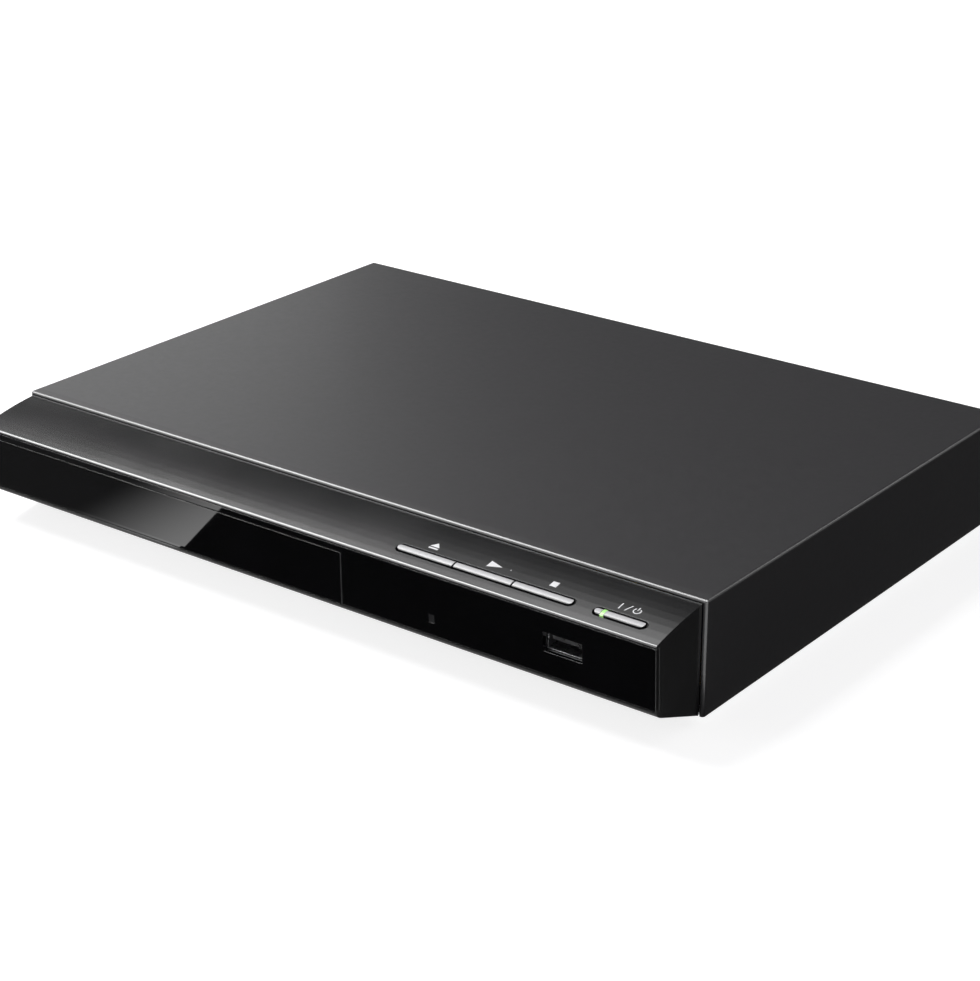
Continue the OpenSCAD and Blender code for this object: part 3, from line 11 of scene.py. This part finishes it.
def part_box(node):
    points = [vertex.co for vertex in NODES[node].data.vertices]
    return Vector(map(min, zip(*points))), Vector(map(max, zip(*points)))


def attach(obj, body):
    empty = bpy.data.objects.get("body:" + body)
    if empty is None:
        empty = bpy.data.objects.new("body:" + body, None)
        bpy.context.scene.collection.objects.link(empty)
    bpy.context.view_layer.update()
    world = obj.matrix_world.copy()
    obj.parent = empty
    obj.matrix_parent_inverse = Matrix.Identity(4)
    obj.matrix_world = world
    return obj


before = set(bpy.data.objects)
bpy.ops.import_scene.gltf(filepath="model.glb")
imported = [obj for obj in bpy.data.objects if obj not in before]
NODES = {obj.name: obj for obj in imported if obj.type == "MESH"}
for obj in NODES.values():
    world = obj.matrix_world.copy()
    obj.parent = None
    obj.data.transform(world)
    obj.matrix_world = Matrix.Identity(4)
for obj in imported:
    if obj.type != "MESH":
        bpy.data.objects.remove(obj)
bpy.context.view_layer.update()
MM = 0.001

scene = bpy.context.scene
scene.view_settings.view_transform = "Standard"


def add_object(name, data):
    """Makes an object and links it to the scene."""
    made = bpy.data.objects.new(name, data)
    scene.collection.objects.link(made)
    return made


def emptied_tree(owner):
    """Empties the node tree of a material or world, and returns it with its new output node."""
    owner.use_nodes = True
    tree = owner.node_tree
    tree.nodes.clear()
    kind = "World" if isinstance(owner, bpy.types.World) else "Material"
    return tree, tree.nodes.new("ShaderNodeOutput" + kind)


# ---------------------------------------------------------------- camera and studio

def make_camera():
    """A camera at the photograph's place, 37 degrees to the right and 23 degrees up. Place, turn
    and lens were fitted to the edges of the case."""
    place = Vector((0.4539, -0.5962, 0.3273))
    right = Vector((0.79448, 0.60729, 0.0))
    back = Vector((0.55911, -0.73146, 0.39034))
    data = bpy.data.cameras.new("camera")
    data.lens = 89.28
    data.clip_start = 10 * MM
    camera = add_object("camera", data)
    turn = Matrix((right, back.cross(right), back)).transposed().to_4x4()
    camera.matrix_world = Matrix.Translation(place) @ turn
    scene.camera = camera


def seen_ray(tree):
    """1 for rays that show the background as it is: from the camera, or by gloss or glass."""
    path = tree.nodes.new("ShaderNodeLightPath")
    total = path.outputs["Is Camera Ray"]
    for other in ("Is Glossy Ray", "Is Transmission Ray"):
        either = tree.nodes.new("ShaderNodeMath")
        either.operation = "MAXIMUM"
        tree.links.new(total, either.inputs[0])
        tree.links.new(path.outputs[other], either.inputs[1])
        total = either.outputs[0]
    return total


def make_world():
    """White where it is seen, and a dim cool fill as light."""
    fill_color, fill_strength = (0.96, 0.95, 1.0, 1), 0.25
    world = bpy.data.worlds.new("studio")
    scene.world = world
    tree, out = emptied_tree(world)
    shown = tree.nodes.new("ShaderNodeBackground")
    shown.inputs["Color"].default_value = (1, 1, 1, 1)
    shown.inputs["Strength"].default_value = 1.0
    fill = tree.nodes.new("ShaderNodeBackground")
    fill.inputs["Color"].default_value = fill_color
    fill.inputs["Strength"].default_value = fill_strength
    mix = tree.nodes.new("ShaderNodeMixShader")
    tree.links.new(seen_ray(tree), mix.inputs[0])
    tree.links.new(fill.outputs[0], mix.inputs[1])
    tree.links.new(shown.outputs[0], mix.inputs[2])
    tree.links.new(mix.outputs[0], out.inputs[0])


def make_floor():
    """Grey paper that takes the shadow, with a glow that makes it white where it is seen."""
    reach, grey, glow_level = 4.0, 0.45, 0.78
    mesh = bpy.data.meshes.new("floor")
    mesh.from_pydata(flat(-reach, -reach, reach, reach, 0), [], [(0, 1, 2, 3)])
    floor = add_object("floor", mesh)
    mat = bpy.data.materials.new("floor_paper")
    tree, out = emptied_tree(mat)
    paper = tree.nodes.new("ShaderNodeBsdfDiffuse")
    paper.inputs["Color"].default_value = (grey, grey, grey, 1)
    level = tree.nodes.new("ShaderNodeMath")
    level.operation = "MULTIPLY"
    tree.links.new(seen_ray(tree), level.inputs[0])
    level.inputs[1].default_value = glow_level
    glow = tree.nodes.new("ShaderNodeEmission")
    glow.inputs["Color"].default_value = (1, 1, 1, 1)
    tree.links.new(level.outputs[0], glow.inputs["Strength"])
    both = tree.nodes.new("ShaderNodeAddShader")
    tree.links.new(paper.outputs[0], both.inputs[0])
    tree.links.new(glow.outputs[0], both.inputs[1])
    tree.links.new(both.outputs[0], out.inputs[0])
    mesh.materials.append(mat)


def flat(x0, y0, x1, y1, z):
    """The corners of a level rectangle."""
    return [(x0, y0, z), (x1, y0, z), (x1, y1, z), (x0, y1, z)]


def studio_card(name, corners, level, fade=None, start=0.0, axis="X"):
    """A flat card that only gloss shows, glowing at level. With fade, a pair of values on axis,
    the glow goes from start at the first to level at the second."""
    mesh = bpy.data.meshes.new(name)
    mesh.from_pydata(corners, [], [(0, 1, 2, 3)])
    card = add_object(name, mesh)
    mat = bpy.data.materials.new(name + "_glow")
    tree, out = emptied_tree(mat)
    glow = tree.nodes.new("ShaderNodeEmission")
    glow.inputs["Strength"].default_value = level
    if fade is not None:
        coords = tree.nodes.new("ShaderNodeTexCoord")
        across = tree.nodes.new("ShaderNodeSeparateXYZ")
        ramp = tree.nodes.new("ShaderNodeMapRange")
        ramp.interpolation_type = "SMOOTHSTEP"
        ramp.inputs["From Min"].default_value = fade[0]
        ramp.inputs["From Max"].default_value = fade[1]
        ramp.inputs["To Min"].default_value = start
        ramp.inputs["To Max"].default_value = level
        tree.links.new(coords.outputs["Object"], across.inputs["Vector"])
        tree.links.new(across.outputs[axis], ramp.inputs["Value"])
        tree.links.new(ramp.outputs["Result"], glow.inputs["Strength"])
    tree.links.new(glow.outputs[0], out.inputs[0])
    mesh.materials.append(mat)
    card.visible_camera = False
    card.visible_diffuse = False
    card.visible_shadow = False
    card.visible_transmission = False


def make_cards():
    """Cards for the gloss of the case: dark paper before, beside and behind it, and bright cards
    for the streak in the door, the right front corner and the right end of the slope."""
    front, side = -0.106, 0.1355  # just clear of the front panel and of the cover's right side
    paper_z, card_z = 0.6 * MM, 1.0 * MM  # just clear of the floor
    studio_card("front_paper", flat(-0.9, -1.1, side, front, paper_z), 0.02)
    studio_card("chin_card", flat(-0.4, front, side, -0.08, paper_z), 0.35)
    studio_card("side_paper", flat(side, -0.2, 1.2, 1.2, paper_z), 0.06)
    door_card = [(-0.26, -0.18, card_z), (-0.082, -0.18, card_z),
                 (-0.0572, front, card_z), (-0.26, front, card_z)]
    studio_card("door_card", door_card, 3.3, fade=(-0.115, -0.054), start=0.12)
    studio_card("corner_card", flat(0.137, -0.25, 0.26, front, card_z), 4)
    studio_card("rim_card", flat(0.15, front, 0.26, -0.085, card_z), 4)
    left, right, foot, head = (-1.7, 0.35), (0.35, 1.75), 0.2, 1.35
    studio_card("back_paper", [(*left, foot), (*right, foot), (*right, head), (*left, head)], 0.04)
    studio_card("right_glow", flat(-0.62, 0.16, -0.1, 0.9, 1.0), 0,
                fade=(0.16, 0.75), start=6, axis="Y")


def area_lamp(name, place, target, size, power, diffuse=True, glossy=True):
    data = bpy.data.lights.new(name, "AREA")
    data.shape = "RECTANGLE"
    data.size, data.size_y = size
    data.energy = power
    lamp = add_object(name, data)
    lamp.location = place
    lamp.rotation_mode = "QUATERNION"
    lamp.rotation_quaternion = (Vector(target) - Vector(place)).to_track_quat("-Z", "Y")
    lamp.visible_camera = False
    lamp.visible_diffuse = diffuse
    lamp.visible_glossy = glossy


def make_lamps():
    """A plain level of light. The nose strip adds only gloss, to the slope and the cover."""
    nose = (0.0, -0.1, 0.03)
    area_lamp("overhead", (-0.64, -0.07, 0.99), nose, (0.7, 0.5), 12)
    area_lamp("nose_strip", (-0.78, -0.26, 1.0), nose, (0.74, 1.0), 42, diffuse=False)
    area_lamp("back_left", (-1.0, 0.62, 0.3), (-0.1, -0.05, 0.03), (0.6, 0.35), 1.35)
    area_lamp("back_right", (0.5, 0.95, 0.7), (0.1, 0.0, 0.03), (0.25, 0.25), 0.7)
    area_lamp("front_left", (-0.62, -0.9, 0.36), nose, (0.5, 0.4), 3)
    area_lamp("front_fill", (0.5, -1.2, 0.7), (0, 0, 0.02), (0.8, 0.6), 3, glossy=False)


# ---------------------------------------------------------------- materials

NOISE_LOW, NOISE_HIGH = 0.3, 0.7  # most values of a noise texture lie between these
MIX_FIRST, MIX_SECOND, MIX_RESULT = 6, 7, 2  # the colour sockets of a Mix node
SLOPE_TILT = 12.945  # degrees by which the slope with the keys leans to the front
PAINTED_WITHIN = 17.0  # degrees from the slope within which the keys' faces are painted silver; the dark side walls beyond are black moulding and painted shade of the gaps around the keys


class Finish:
    """A procedural material: constants on the Principled sockets, detail from textures.
    Scales are per metre, and depths and radii in mm."""

    def __init__(self, name, color, rough, metallic=0.0, spec=0.5, coat=0.0, coat_rough=0.05):
        self.mat = bpy.data.materials.new(name)
        self.mat.use_nodes = True
        self.tree = self.mat.node_tree
        self.shader = self.tree.nodes["Principled BSDF"]
        self.color = color
        self.rough = rough
        self.set("Base Color", (*color, 1))
        self.set("Roughness", rough)
        self.set("Metallic", metallic)
        self.set("Specular IOR Level", spec)
        self.set("Coat Weight", coat)
        self.set("Coat Roughness", coat_rough)
        self.set("IOR", 1.5)
        self.coords = self.tree.nodes.new("ShaderNodeTexCoord")
        self.normal = None

    def set(self, socket, value):
        self.shader.inputs[socket].default_value = value

    def link(self, a, b):
        self.tree.links.new(a, b)

    def drive(self, socket, value):
        """Gives a socket of the shader the output of another node."""
        self.link(value, self.shader.inputs[socket])

    def place(self, scale):
        """Object coordinates stretched by scale, which is a number or three of them."""
        scale = (scale,) * 3 if isinstance(scale, (int, float)) else scale
        stretch = self.tree.nodes.new("ShaderNodeMapping")
        stretch.inputs["Scale"].default_value = scale
        self.link(self.coords.outputs["Object"], stretch.inputs["Vector"])
        return stretch.outputs["Vector"]

    def noise(self, scale, detail=2.0):
        node = self.tree.nodes.new("ShaderNodeTexNoise")
        node.inputs["Scale"].default_value = 1.0
        node.inputs["Detail"].default_value = detail
        node.inputs["Roughness"].default_value = 0.5
        self.link(self.place(scale), node.inputs["Vector"])
        return node.outputs["Fac"]

    def cells(self, scale):
        """A random colour for each cell."""
        node = self.tree.nodes.new("ShaderNodeTexVoronoi")
        node.inputs["Scale"].default_value = 1.0
        self.link(self.place(scale), node.inputs["Vector"])
        return node.outputs["Color"]

    def stripes(self, scale):
        """Waves across X."""
        node = self.tree.nodes.new("ShaderNodeTexWave")
        node.wave_type = "BANDS"
        node.bands_direction = "X"
        node.inputs["Scale"].default_value = 1.0
        node.inputs["Distortion"].default_value = 0.0
        self.link(self.place(scale), node.inputs["Vector"])
        return node.outputs["Fac"]

    def remap(self, fac, low, high, start=NOISE_LOW, end=NOISE_HIGH):
        """Takes fac from start and end to low and high."""
        node = self.tree.nodes.new("ShaderNodeMapRange")
        node.inputs["From Min"].default_value = start
        node.inputs["From Max"].default_value = end
        node.inputs["To Min"].default_value = low
        node.inputs["To Max"].default_value = high
        self.link(fac, node.inputs["Value"])
        return node.outputs["Result"]

    def blend_colors(self, fac, first, second):
        """Goes from the first colour to the second over the usual span of a texture."""
        node = self.tree.nodes.new("ShaderNodeValToRGB")
        for stop, place, color in zip(node.color_ramp.elements, (NOISE_LOW, NOISE_HIGH),
                                      (first, second)):
            stop.position = place
            stop.color = (*color, 1)
        self.link(fac, node.inputs["Fac"])
        return node.outputs["Color"]

    def mix_colors(self, fac, first, second):
        """The first colour at 0 and the second at 1. Each is a tuple or a node's output."""
        node = self.tree.nodes.new("ShaderNodeMix")
        node.data_type = "RGBA"
        self.link(fac, node.inputs["Factor"])
        for socket, color in ((MIX_FIRST, first), (MIX_SECOND, second)):
            if isinstance(color, tuple):
                node.inputs[socket].default_value = (*color, 1)
            else:
                self.link(color, node.inputs[socket])
        return node.outputs[MIX_RESULT]

    def shades(self, dark, light):
        """The base colour times dark and times light."""
        return [c * dark for c in self.color], [min(1, c * light) for c in self.color]

    def mottle(self, scale, amount):
        """Lets the colour vary by amount, a share of itself."""
        dark, light = self.shades(1 - amount, 1 + amount)
        self.drive("Base Color", self.blend_colors(self.noise(scale), dark, light))
        return self

    def uneven(self, scale, amount):
        """Lets the roughness vary by amount either way."""
        low, high = max(0.02, self.rough - amount), self.rough + amount
        self.drive("Roughness", self.remap(self.noise(scale, 4.0), low, high))
        return self

    def bump(self, height, depth_mm, strength=1.0):
        node = self.tree.nodes.new("ShaderNodeBump")
        node.inputs["Strength"].default_value = strength
        node.inputs["Distance"].default_value = depth_mm * MM
        self.link(height, node.inputs["Height"])
        if self.normal is not None:
            self.link(self.normal, node.inputs["Normal"])
        self.normal = node.outputs["Normal"]
        self.drive("Normal", self.normal)
        return self

    def grain(self, scale, depth_mm, strength):
        return self.bump(self.noise(scale), depth_mm, strength)

    def soft_edges(self, radius_mm):
        """Rounds hard edges in the shading only, for lips too fine for the mesh."""
        node = self.tree.nodes.new("ShaderNodeBevel")
        node.samples = 4
        node.inputs["Radius"].default_value = radius_mm * MM
        self.normal = node.outputs["Normal"]
        self.drive("Normal", self.normal)
        return self

    def polish(self, weight):
        """A clear coat on all but the level faces, as on rubbed folds and sides."""
        level_weight = 0.02
        tilted, level = 0.97, 0.995  # the upward part of the normal
        geometry = self.tree.nodes.new("ShaderNodeNewGeometry")
        parts = self.tree.nodes.new("ShaderNodeSeparateXYZ")
        self.link(geometry.outputs["True Normal"], parts.inputs["Vector"])
        self.drive("Coat Weight",
                   self.remap(parts.outputs["Z"], weight, level_weight, tilted, level))
        return self


def satin_paint(name, color, spec=0.35, rough=0.46, coat=0.0):
    f = Finish(name, color, rough, spec=spec, coat_rough=0.14)
    f.soft_edges(0.25)
    if coat:
        f.polish(coat)
    f.mottle(400, 0.035).uneven(480, 0.015)
    f.grain(5200, 0.012, 0.4)
    return f.mat


def dark_lacquer(name, color):
    """Smooth lacquer whose colour and gloss vary a little."""
    f = Finish(name, color, 0.23)
    f.soft_edges(0.12)
    f.mottle(220, 0.25).uneven(24, 0.02)
    return f.mat


def piano_black(name):
    f = Finish(name, (0.0022, 0.0022, 0.0026), 0.045, spec=0.4)
    f.soft_edges(0.2)
    f.uneven((30, 30, 60), 0.02)
    f.mottle(40, 0.2)
    f.grain(160, 0.01, 0.06)
    return f.mat


def key_finish(name):
    """Keys with silver paint on the faces that look the way the slope does, and dark side walls:
    black moulding, and painted shade that stands in for the gaps around the keys.
    """
    f = Finish(name, (0.5, 0.5, 0.51), 0.36, spec=0.2)
    slant = math.radians(SLOPE_TILT)
    geometry = f.tree.nodes.new("ShaderNodeNewGeometry")
    facing = f.tree.nodes.new("ShaderNodeVectorMath")
    facing.operation = "DOT_PRODUCT"
    facing.inputs[1].default_value = (0, -math.sin(slant), math.cos(slant))
    f.link(geometry.outputs["True Normal"], facing.inputs[0])
    limit, blur = math.cos(math.radians(PAINTED_WITHIN)), 0.004
    silver_else_painted_shade = f.remap(facing.outputs["Value"], 0, 1, limit - blur, limit + blur)
    silver = f.blend_colors(f.cells(9000), (0.48, 0.48, 0.485), (0.54, 0.54, 0.545))
    # faces that lean away from the slope get near-black: black moulding plus painted shade of the
    # gaps between keys and slots
    f.drive("Base Color", f.mix_colors(silver_else_painted_shade, (0.012, 0.012, 0.013), silver))
    f.uneven(300, 0.04)
    return f.mat


def moulded(name, color, rough=0.5, grain_mm=0.03):
    """Moulded plastic with a spark-eroded grain."""
    f = Finish(name, color, rough, spec=0.4)
    f.soft_edges(0.3)
    f.mottle(120, 0.08).uneven(140, 0.05)
    f.grain(3200, grain_mm, 0.6)
    f.grain(420, 0.04, 0.15)
    return f.mat


def rubber(name, color=(0.018, 0.018, 0.018)):
    f = Finish(name, color, 0.72, spec=0.3)
    f.soft_edges(0.4)
    f.mottle(200, 0.2).uneven(220, 0.08)
    f.grain(2200, 0.05, 0.6)
    return f.mat


def zinc_sheet(name):
    """Galvanised sheet: soft spangle and rolling lines."""
    f = Finish(name, (0.5, 0.51, 0.52), 0.38, metallic=1.0)
    f.soft_edges(0.25)
    dark, light = f.shades(0.86, 1.1)
    f.drive("Base Color", f.blend_colors(f.cells(260), dark, light))
    f.uneven((40, 900, 900), 0.08)
    f.grain((60, 2600, 2600), 0.008, 0.5)
    return f.mat


def plated(name, color=(0.72, 0.71, 0.68), rough=0.2):
    f = Finish(name, color, rough, metallic=1.0)
    f.soft_edges(0.15)
    f.mottle(300, 0.06).uneven(400, 0.07)
    f.grain(1500, 0.006, 0.4)
    return f.mat


def cast_metal(name, color=(0.42, 0.43, 0.45)):
    f = Finish(name, color, 0.45, metallic=0.9)
    f.soft_edges(0.35)
    f.mottle(160, 0.12).uneven(200, 0.1)
    f.grain(1300, 0.05, 0.5)
    return f.mat


def acetal(name, color=(0.72, 0.72, 0.68)):
    """Slippery plastic of gears and sliders, which light enters a little."""
    f = Finish(name, color, 0.38, spec=0.45)
    f.set("Subsurface Weight", 0.15)
    f.set("Subsurface Radius", (0.0012, 0.001, 0.0008))
    f.soft_edges(0.15)
    f.mottle(250, 0.05).uneven(300, 0.06)
    f.grain(1800, 0.01, 0.4)
    return f.mat


def circuit(name, color, trace):
    """Solder mask over copper: a net of straight tracks."""
    f = Finish(name, color, 0.32, coat=0.3, coat_rough=0.15)
    tracks = f.tree.nodes.new("ShaderNodeTexBrick")
    tracks.inputs["Scale"].default_value = 1.0
    tracks.inputs["Color1"].default_value = (*color, 1)
    tracks.inputs["Color2"].default_value = (*[c * 0.86 for c in color], 1)
    tracks.inputs["Mortar"].default_value = (*trace, 1)
    tracks.inputs["Mortar Size"].default_value = 0.035
    f.link(f.place(260), tracks.inputs["Vector"])
    f.drive("Base Color", tracks.outputs["Color"])
    f.uneven(300, 0.06)
    f.bump(tracks.outputs["Fac"], 0.02, 0.5)
    return f.mat


def hatched_window(name):
    """Smoked window with fine upright ribs."""
    f = Finish(name, (0.02, 0.02, 0.021), 0.25, spec=0.3)
    ribs = f.stripes(700)
    f.drive("Base Color", f.blend_colors(ribs, (0.012, 0.012, 0.013), (0.034, 0.034, 0.035)))
    f.bump(ribs, 0.08, 0.6)
    f.uneven(200, 0.05)
    return f.mat


def lit_green(name):
    f = Finish(name, (0.3, 0.6, 0.2), 0.3, spec=0.2)
    f.set("Emission Strength", 0.42)
    f.drive("Emission Color", f.blend_colors(f.noise(2500), (0.38, 0.72, 0.2), (0.5, 0.85, 0.3)))
    f.uneven(400, 0.05)
    f.grain(2000, 0.01, 0.4)
    return f.mat


def jack_colours(name):
    """Each ring by its place: red and white for sound below, yellow for picture and orange for
    digital sound above."""
    red, white = (0.62, 0.02, 0.02), (0.72, 0.72, 0.7)
    yellow, orange = (0.75, 0.55, 0.03), (0.75, 0.24, 0.03)
    f = Finish(name, (0.8, 0.6, 0.1), 0.4)
    low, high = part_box("jack_rings")
    parts = f.tree.nodes.new("ShaderNodeSeparateXYZ")
    f.link(f.coords.outputs["Object"], parts.inputs["Vector"])

    def past_middle(axis, index):
        over = f.tree.nodes.new("ShaderNodeMath")
        over.operation = "GREATER_THAN"
        over.inputs[1].default_value = (low[index] + high[index]) / 2
        f.link(parts.outputs[axis], over.inputs[0])
        return over.outputs[0]

    right, upper = past_middle("X", 0), past_middle("Z", 2)
    below, above = f.mix_colors(right, red, white), f.mix_colors(right, yellow, orange)
    f.drive("Base Color", f.mix_colors(upper, below, above))
    f.uneven(300, 0.05)
    f.grain(1800, 0.01, 0.4)
    return f.mat


def lens_glass(name):
    f = Finish(name, (0.75, 0.86, 1.0), 0.03, spec=0.6)
    f.set("Transmission Weight", 0.9)
    f.uneven(900, 0.01)
    return f.mat


def ribbon_film(name):
    """White flat cable with its wires showing as fine lines."""
    f = Finish(name, (0.8, 0.8, 0.77), 0.4)
    wires = f.stripes(320)
    f.drive("Base Color", f.blend_colors(wires, (0.62, 0.62, 0.6), (0.84, 0.84, 0.82)))
    f.bump(wires, 0.05, 0.5)
    return f.mat


def dress_nodes():
    """Gives each CAD node its material."""
    black = piano_black("gloss_black")
    keys = key_finish("key_silver")
    nickel = plated("nickel")
    dull = moulded("black_mould", (0.014, 0.014, 0.015))
    chips = moulded("epoxy_black", (0.02, 0.02, 0.021), 0.42, 0.015)
    steel = zinc_sheet("zinc_sheet")
    white = acetal("acetal")
    finishes = {
        "top_cover": satin_paint("satin_cover", (0.0075, 0.007, 0.0084), coat=0.35),
        "cover_screws": plated("black_oxide", (0.05, 0.05, 0.052), 0.35),
        "bottom_chassis": steel,
        "rear_panel": satin_paint("satin_rear", (0.02, 0.02, 0.021)),
        "front_panel": dark_lacquer("slope_lacquer", (0.005, 0.005, 0.0055)),
        "front_fascia": black,
        "tray_door": black,
        "remote_window": hatched_window("receiver_window"),
        "power_lens": lit_green("power_green"),
        "eject_button": keys,
        "play_button": keys,
        "stop_button": keys,
        "power_button": keys,
        "usb_socket": plated("dark_nickel", (0.4, 0.4, 0.41), 0.3),
        "hdmi_socket": nickel,
        "jack_barrels": nickel,
        "jack_rings": jack_colours("jack_colours"),
        "scart_socket": dull,
        "jack_block": dull,
        "cord_gland": dull,
        "feet": rubber("foot_rubber"),
        "loader_base": moulded("loader_black", (0.02, 0.02, 0.022)),
        "lift_frame": moulded("lift_black", (0.022, 0.022, 0.024)),
        "disc_tray": moulded("tray_black", (0.016, 0.016, 0.018), 0.46, 0.035),
        "clamper_bridge": steel,
        "clamper": acetal("clamper_white", (0.6, 0.6, 0.58)),
        "clamper_cap": plated("cap_steel", (0.6, 0.6, 0.6), 0.3),
        "loading_motor": plated("motor_can", (0.62, 0.62, 0.6), 0.3),
        "spindle_motor": plated("spindle_can", (0.6, 0.6, 0.6), 0.32),
        "sled_motor": plated("sled_can", (0.6, 0.6, 0.6), 0.32),
        "motor_pulley": plated("brass", (0.75, 0.58, 0.28), 0.25),
        "drive_belt": rubber("belt_rubber"),
        "pulley_gear": white,
        "drive_gear": white,
        "cam_slider": white,
        "pickup_rack": white,
        "sled_pinion": white,
        "sled_gear": white,
        "traverse_frame": cast_metal("cast_traverse"),
        "pickup_body": cast_metal("cast_pickup", (0.38, 0.39, 0.41)),
        "dampers": rubber("damper_red", (0.2, 0.03, 0.03)),
        "spindle_rotor": plated("rotor", (0.66, 0.66, 0.66), 0.22),
        "turntable": moulded("turntable_black", (0.03, 0.03, 0.03), 0.4),
        "turntable_pad": rubber("pad_rubber"),
        "guide_rods": plated("ground_steel", (0.7, 0.7, 0.7), 0.15),
        "lens_holder": moulded("holder_grey", (0.1, 0.1, 0.11)),
        "objective_lens": lens_glass("coated_glass"),
        "main_board": circuit("main_mask", (0.015, 0.1, 0.035), (0.03, 0.17, 0.06)),
        "front_boards": circuit("front_mask", (0.015, 0.1, 0.035), (0.03, 0.17, 0.06)),
        "power_board": circuit("power_mask", (0.28, 0.17, 0.06), (0.36, 0.23, 0.09)),
        "main_chips": chips,
        "tact_switches": chips,
        "remote_receiver": chips,
        "connectors": moulded("connector_white", (0.62, 0.6, 0.52)),
        "transformer": moulded("winding_tape", (0.5, 0.36, 0.06), 0.4),
        "capacitors": moulded("sleeve_blue", (0.02, 0.04, 0.12), 0.3),
        "heat_sink": plated("extruded", (0.66, 0.66, 0.67), 0.4),
        "power_led": lit_green("led_green"),
        "inner_screws": plated("screw_zinc", (0.66, 0.66, 0.64), 0.28),
        "ribbon_cables": ribbon_film("ribbon_film"),
    }
    for name, mat in finishes.items():
        mesh = NODES[name].data
        mesh.materials.clear()
        mesh.materials.append(mat)


# ---------------------------------------------------------------- added pieces

def add_piece(name, bm, mat):
    """Makes bm an object of its own, with its faces turned outwards."""
    bmesh.ops.recalc_face_normals(bm, faces=bm.faces[:])
    mesh = bpy.data.meshes.new(name)
    bm.to_mesh(mesh)
    bm.free()
    mesh.materials.append(mat)
    return add_object(name, mesh)


def surface_of(node):
    mesh = NODES[node].data
    points = [v.co.copy() for v in mesh.vertices]
    return BVHTree.FromPolygons(points, [tuple(p.vertices) for p in mesh.polygons])


def printed(name, polygons, surface, mat):
    """Flat ink on the slope: polygons in mm, seen from above, laid on the surface below them."""
    proud = 0.02 * MM
    step = 0.25 * MM  # between the cuts at which the ink can follow a bend
    above = 100 * MM
    bm = bmesh.new()
    for outline in polygons:
        bm.faces.new([bm.verts.new((x * MM, y * MM, 0)) for x, y in outline])
    bmesh.ops.triangulate(bm, faces=bm.faces[:])
    rows = [v.co.y for v in bm.verts]
    y, last = min(rows) + step, max(rows)
    while y < last:
        bmesh.ops.bisect_plane(bm, geom=bm.verts[:] + bm.edges[:] + bm.faces[:],
                               plane_co=(0, y, 0), plane_no=(0, 1, 0))
        y += step
    for v in bm.verts:
        spot, normal, _, _ = surface.ray_cast(Vector((v.co.x, v.co.y, above)), Vector((0, 0, -1)))
        v.co = spot + normal * proud
    piece = add_piece(name, bm, mat)
    thick = piece.modifiers.new("ink", "SOLIDIFY")
    thick.thickness = proud
    thick.offset = 0
    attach(piece, "case")


def ring(x, y, r_out, r_in, start=0, end=360, n=36):
    """A ring, or part of one, as quads. 0 degrees is to the back and turns clockwise from above."""
    out = []
    for k in range(n):
        a = math.radians(start + (end - start) * k / n)
        b = math.radians(start + (end - start) * (k + 1) / n)
        out.append([(x + r * math.sin(t), y + r * math.cos(t))
                    for r, t in ((r_in, a), (r_out, a), (r_out, b), (r_in, b))])
    return out


def rect(x0, y0, x1, y1):
    return [(x0, y0), (x1, y0), (x1, y1), (x0, y1)]


def print_symbols():
    """The white symbols on the slope behind the keys. Sizes and places are in mm."""
    f = Finish("white_ink", (0.72, 0.72, 0.73), 0.45, spec=0.4)
    f.mottle(900, 0.06).uneven(700, 0.06)
    f.grain(4000, 0.004, 0.4)
    slope = surface_of("front_panel")

    def ink(name, *polygons):
        printed(name, polygons, slope, f.mat)

    x, y, half = 48.95, -92.45, 1.65
    ink("eject_symbol", [(x - half, y - 0.35), (x + half, y - 0.35), (x, y + 1.6)],
        rect(x - half, y - 1.45, x + half, y - 0.8))
    x, length, half = 68.6, 4.7, 1.45
    ink("play_symbol", [(x, y - half), (x + length, y), (x, y + half)])
    ink("play_dot", *ring(76.4, y, 0.2, 0.0001, n=16))
    x, half = 91.8, 1.15
    ink("stop_symbol", rect(x - half, y - half, x + half, y + half))
    y, stroke = -92.55, 0.36
    x, half = 114.3, 1.3
    ink("power_bar", rect(x, y - half, x + stroke, y + half))
    x, lean, half = 116.3, 1.19, 1.4
    ink("power_slash", [(x, y - half), (x + stroke, y - half),
                        (x + lean + stroke, y + half), (x + lean, y + half)])
    x, gap = 120.0, 38
    ink("power_ring", *ring(x, y - 0.1, 1.3, 0.95, gap, 360 - gap),
        rect(x - stroke / 2, y + 0.1, x + stroke / 2, y + 1.5))


def door_glint_bead():
    """A fine grey bead on the tray door's right side, which stands in the seam: a painted highlight
    for the glint of the door's rounded edge.
    """
    section = [(-0.01, 0.5), (0.13, 0.5), (0.13, 0.14), (0.1, 0.06), (0.04, 0.02), (-0.01, 0.03)]
    short = 0.1 * MM  # the bead ends this far from the door's top and foot
    cuts = 12
    low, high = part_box("tray_door")
    height = high[2] - low[2] - 2 * short
    bm = bmesh.new()
    rows = []
    for k in range(cuts + 1):
        z = low[2] + short + height * k / cuts
        rows.append([bm.verts.new((high[0] + x * MM, low[1] + y * MM, z)) for x, y in section])
    count = len(section)
    for a, b in zip(rows, rows[1:]):
        for k in range(count):
            bm.faces.new([a[k], a[(k + 1) % count], b[(k + 1) % count], b[k]])
    bm.faces.new(rows[0])
    bm.faces.new(rows[-1])
    # grey colour that stands for the light caught on the door's edge: painted highlight
    f = Finish("painted_glint_grey", (0.075, 0.075, 0.077), 0.35)
    f.mottle(600, 0.08).uneven(500, 0.05)
    piece = add_piece("door_edge_glint", bm, f.mat)
    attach(piece, "tray")


# ---------------------------------------------------------------- the scene

make_camera()
make_world()
make_floor()
make_cards()
make_lamps()
dress_nodes()
print_symbols()
door_glint_bead()
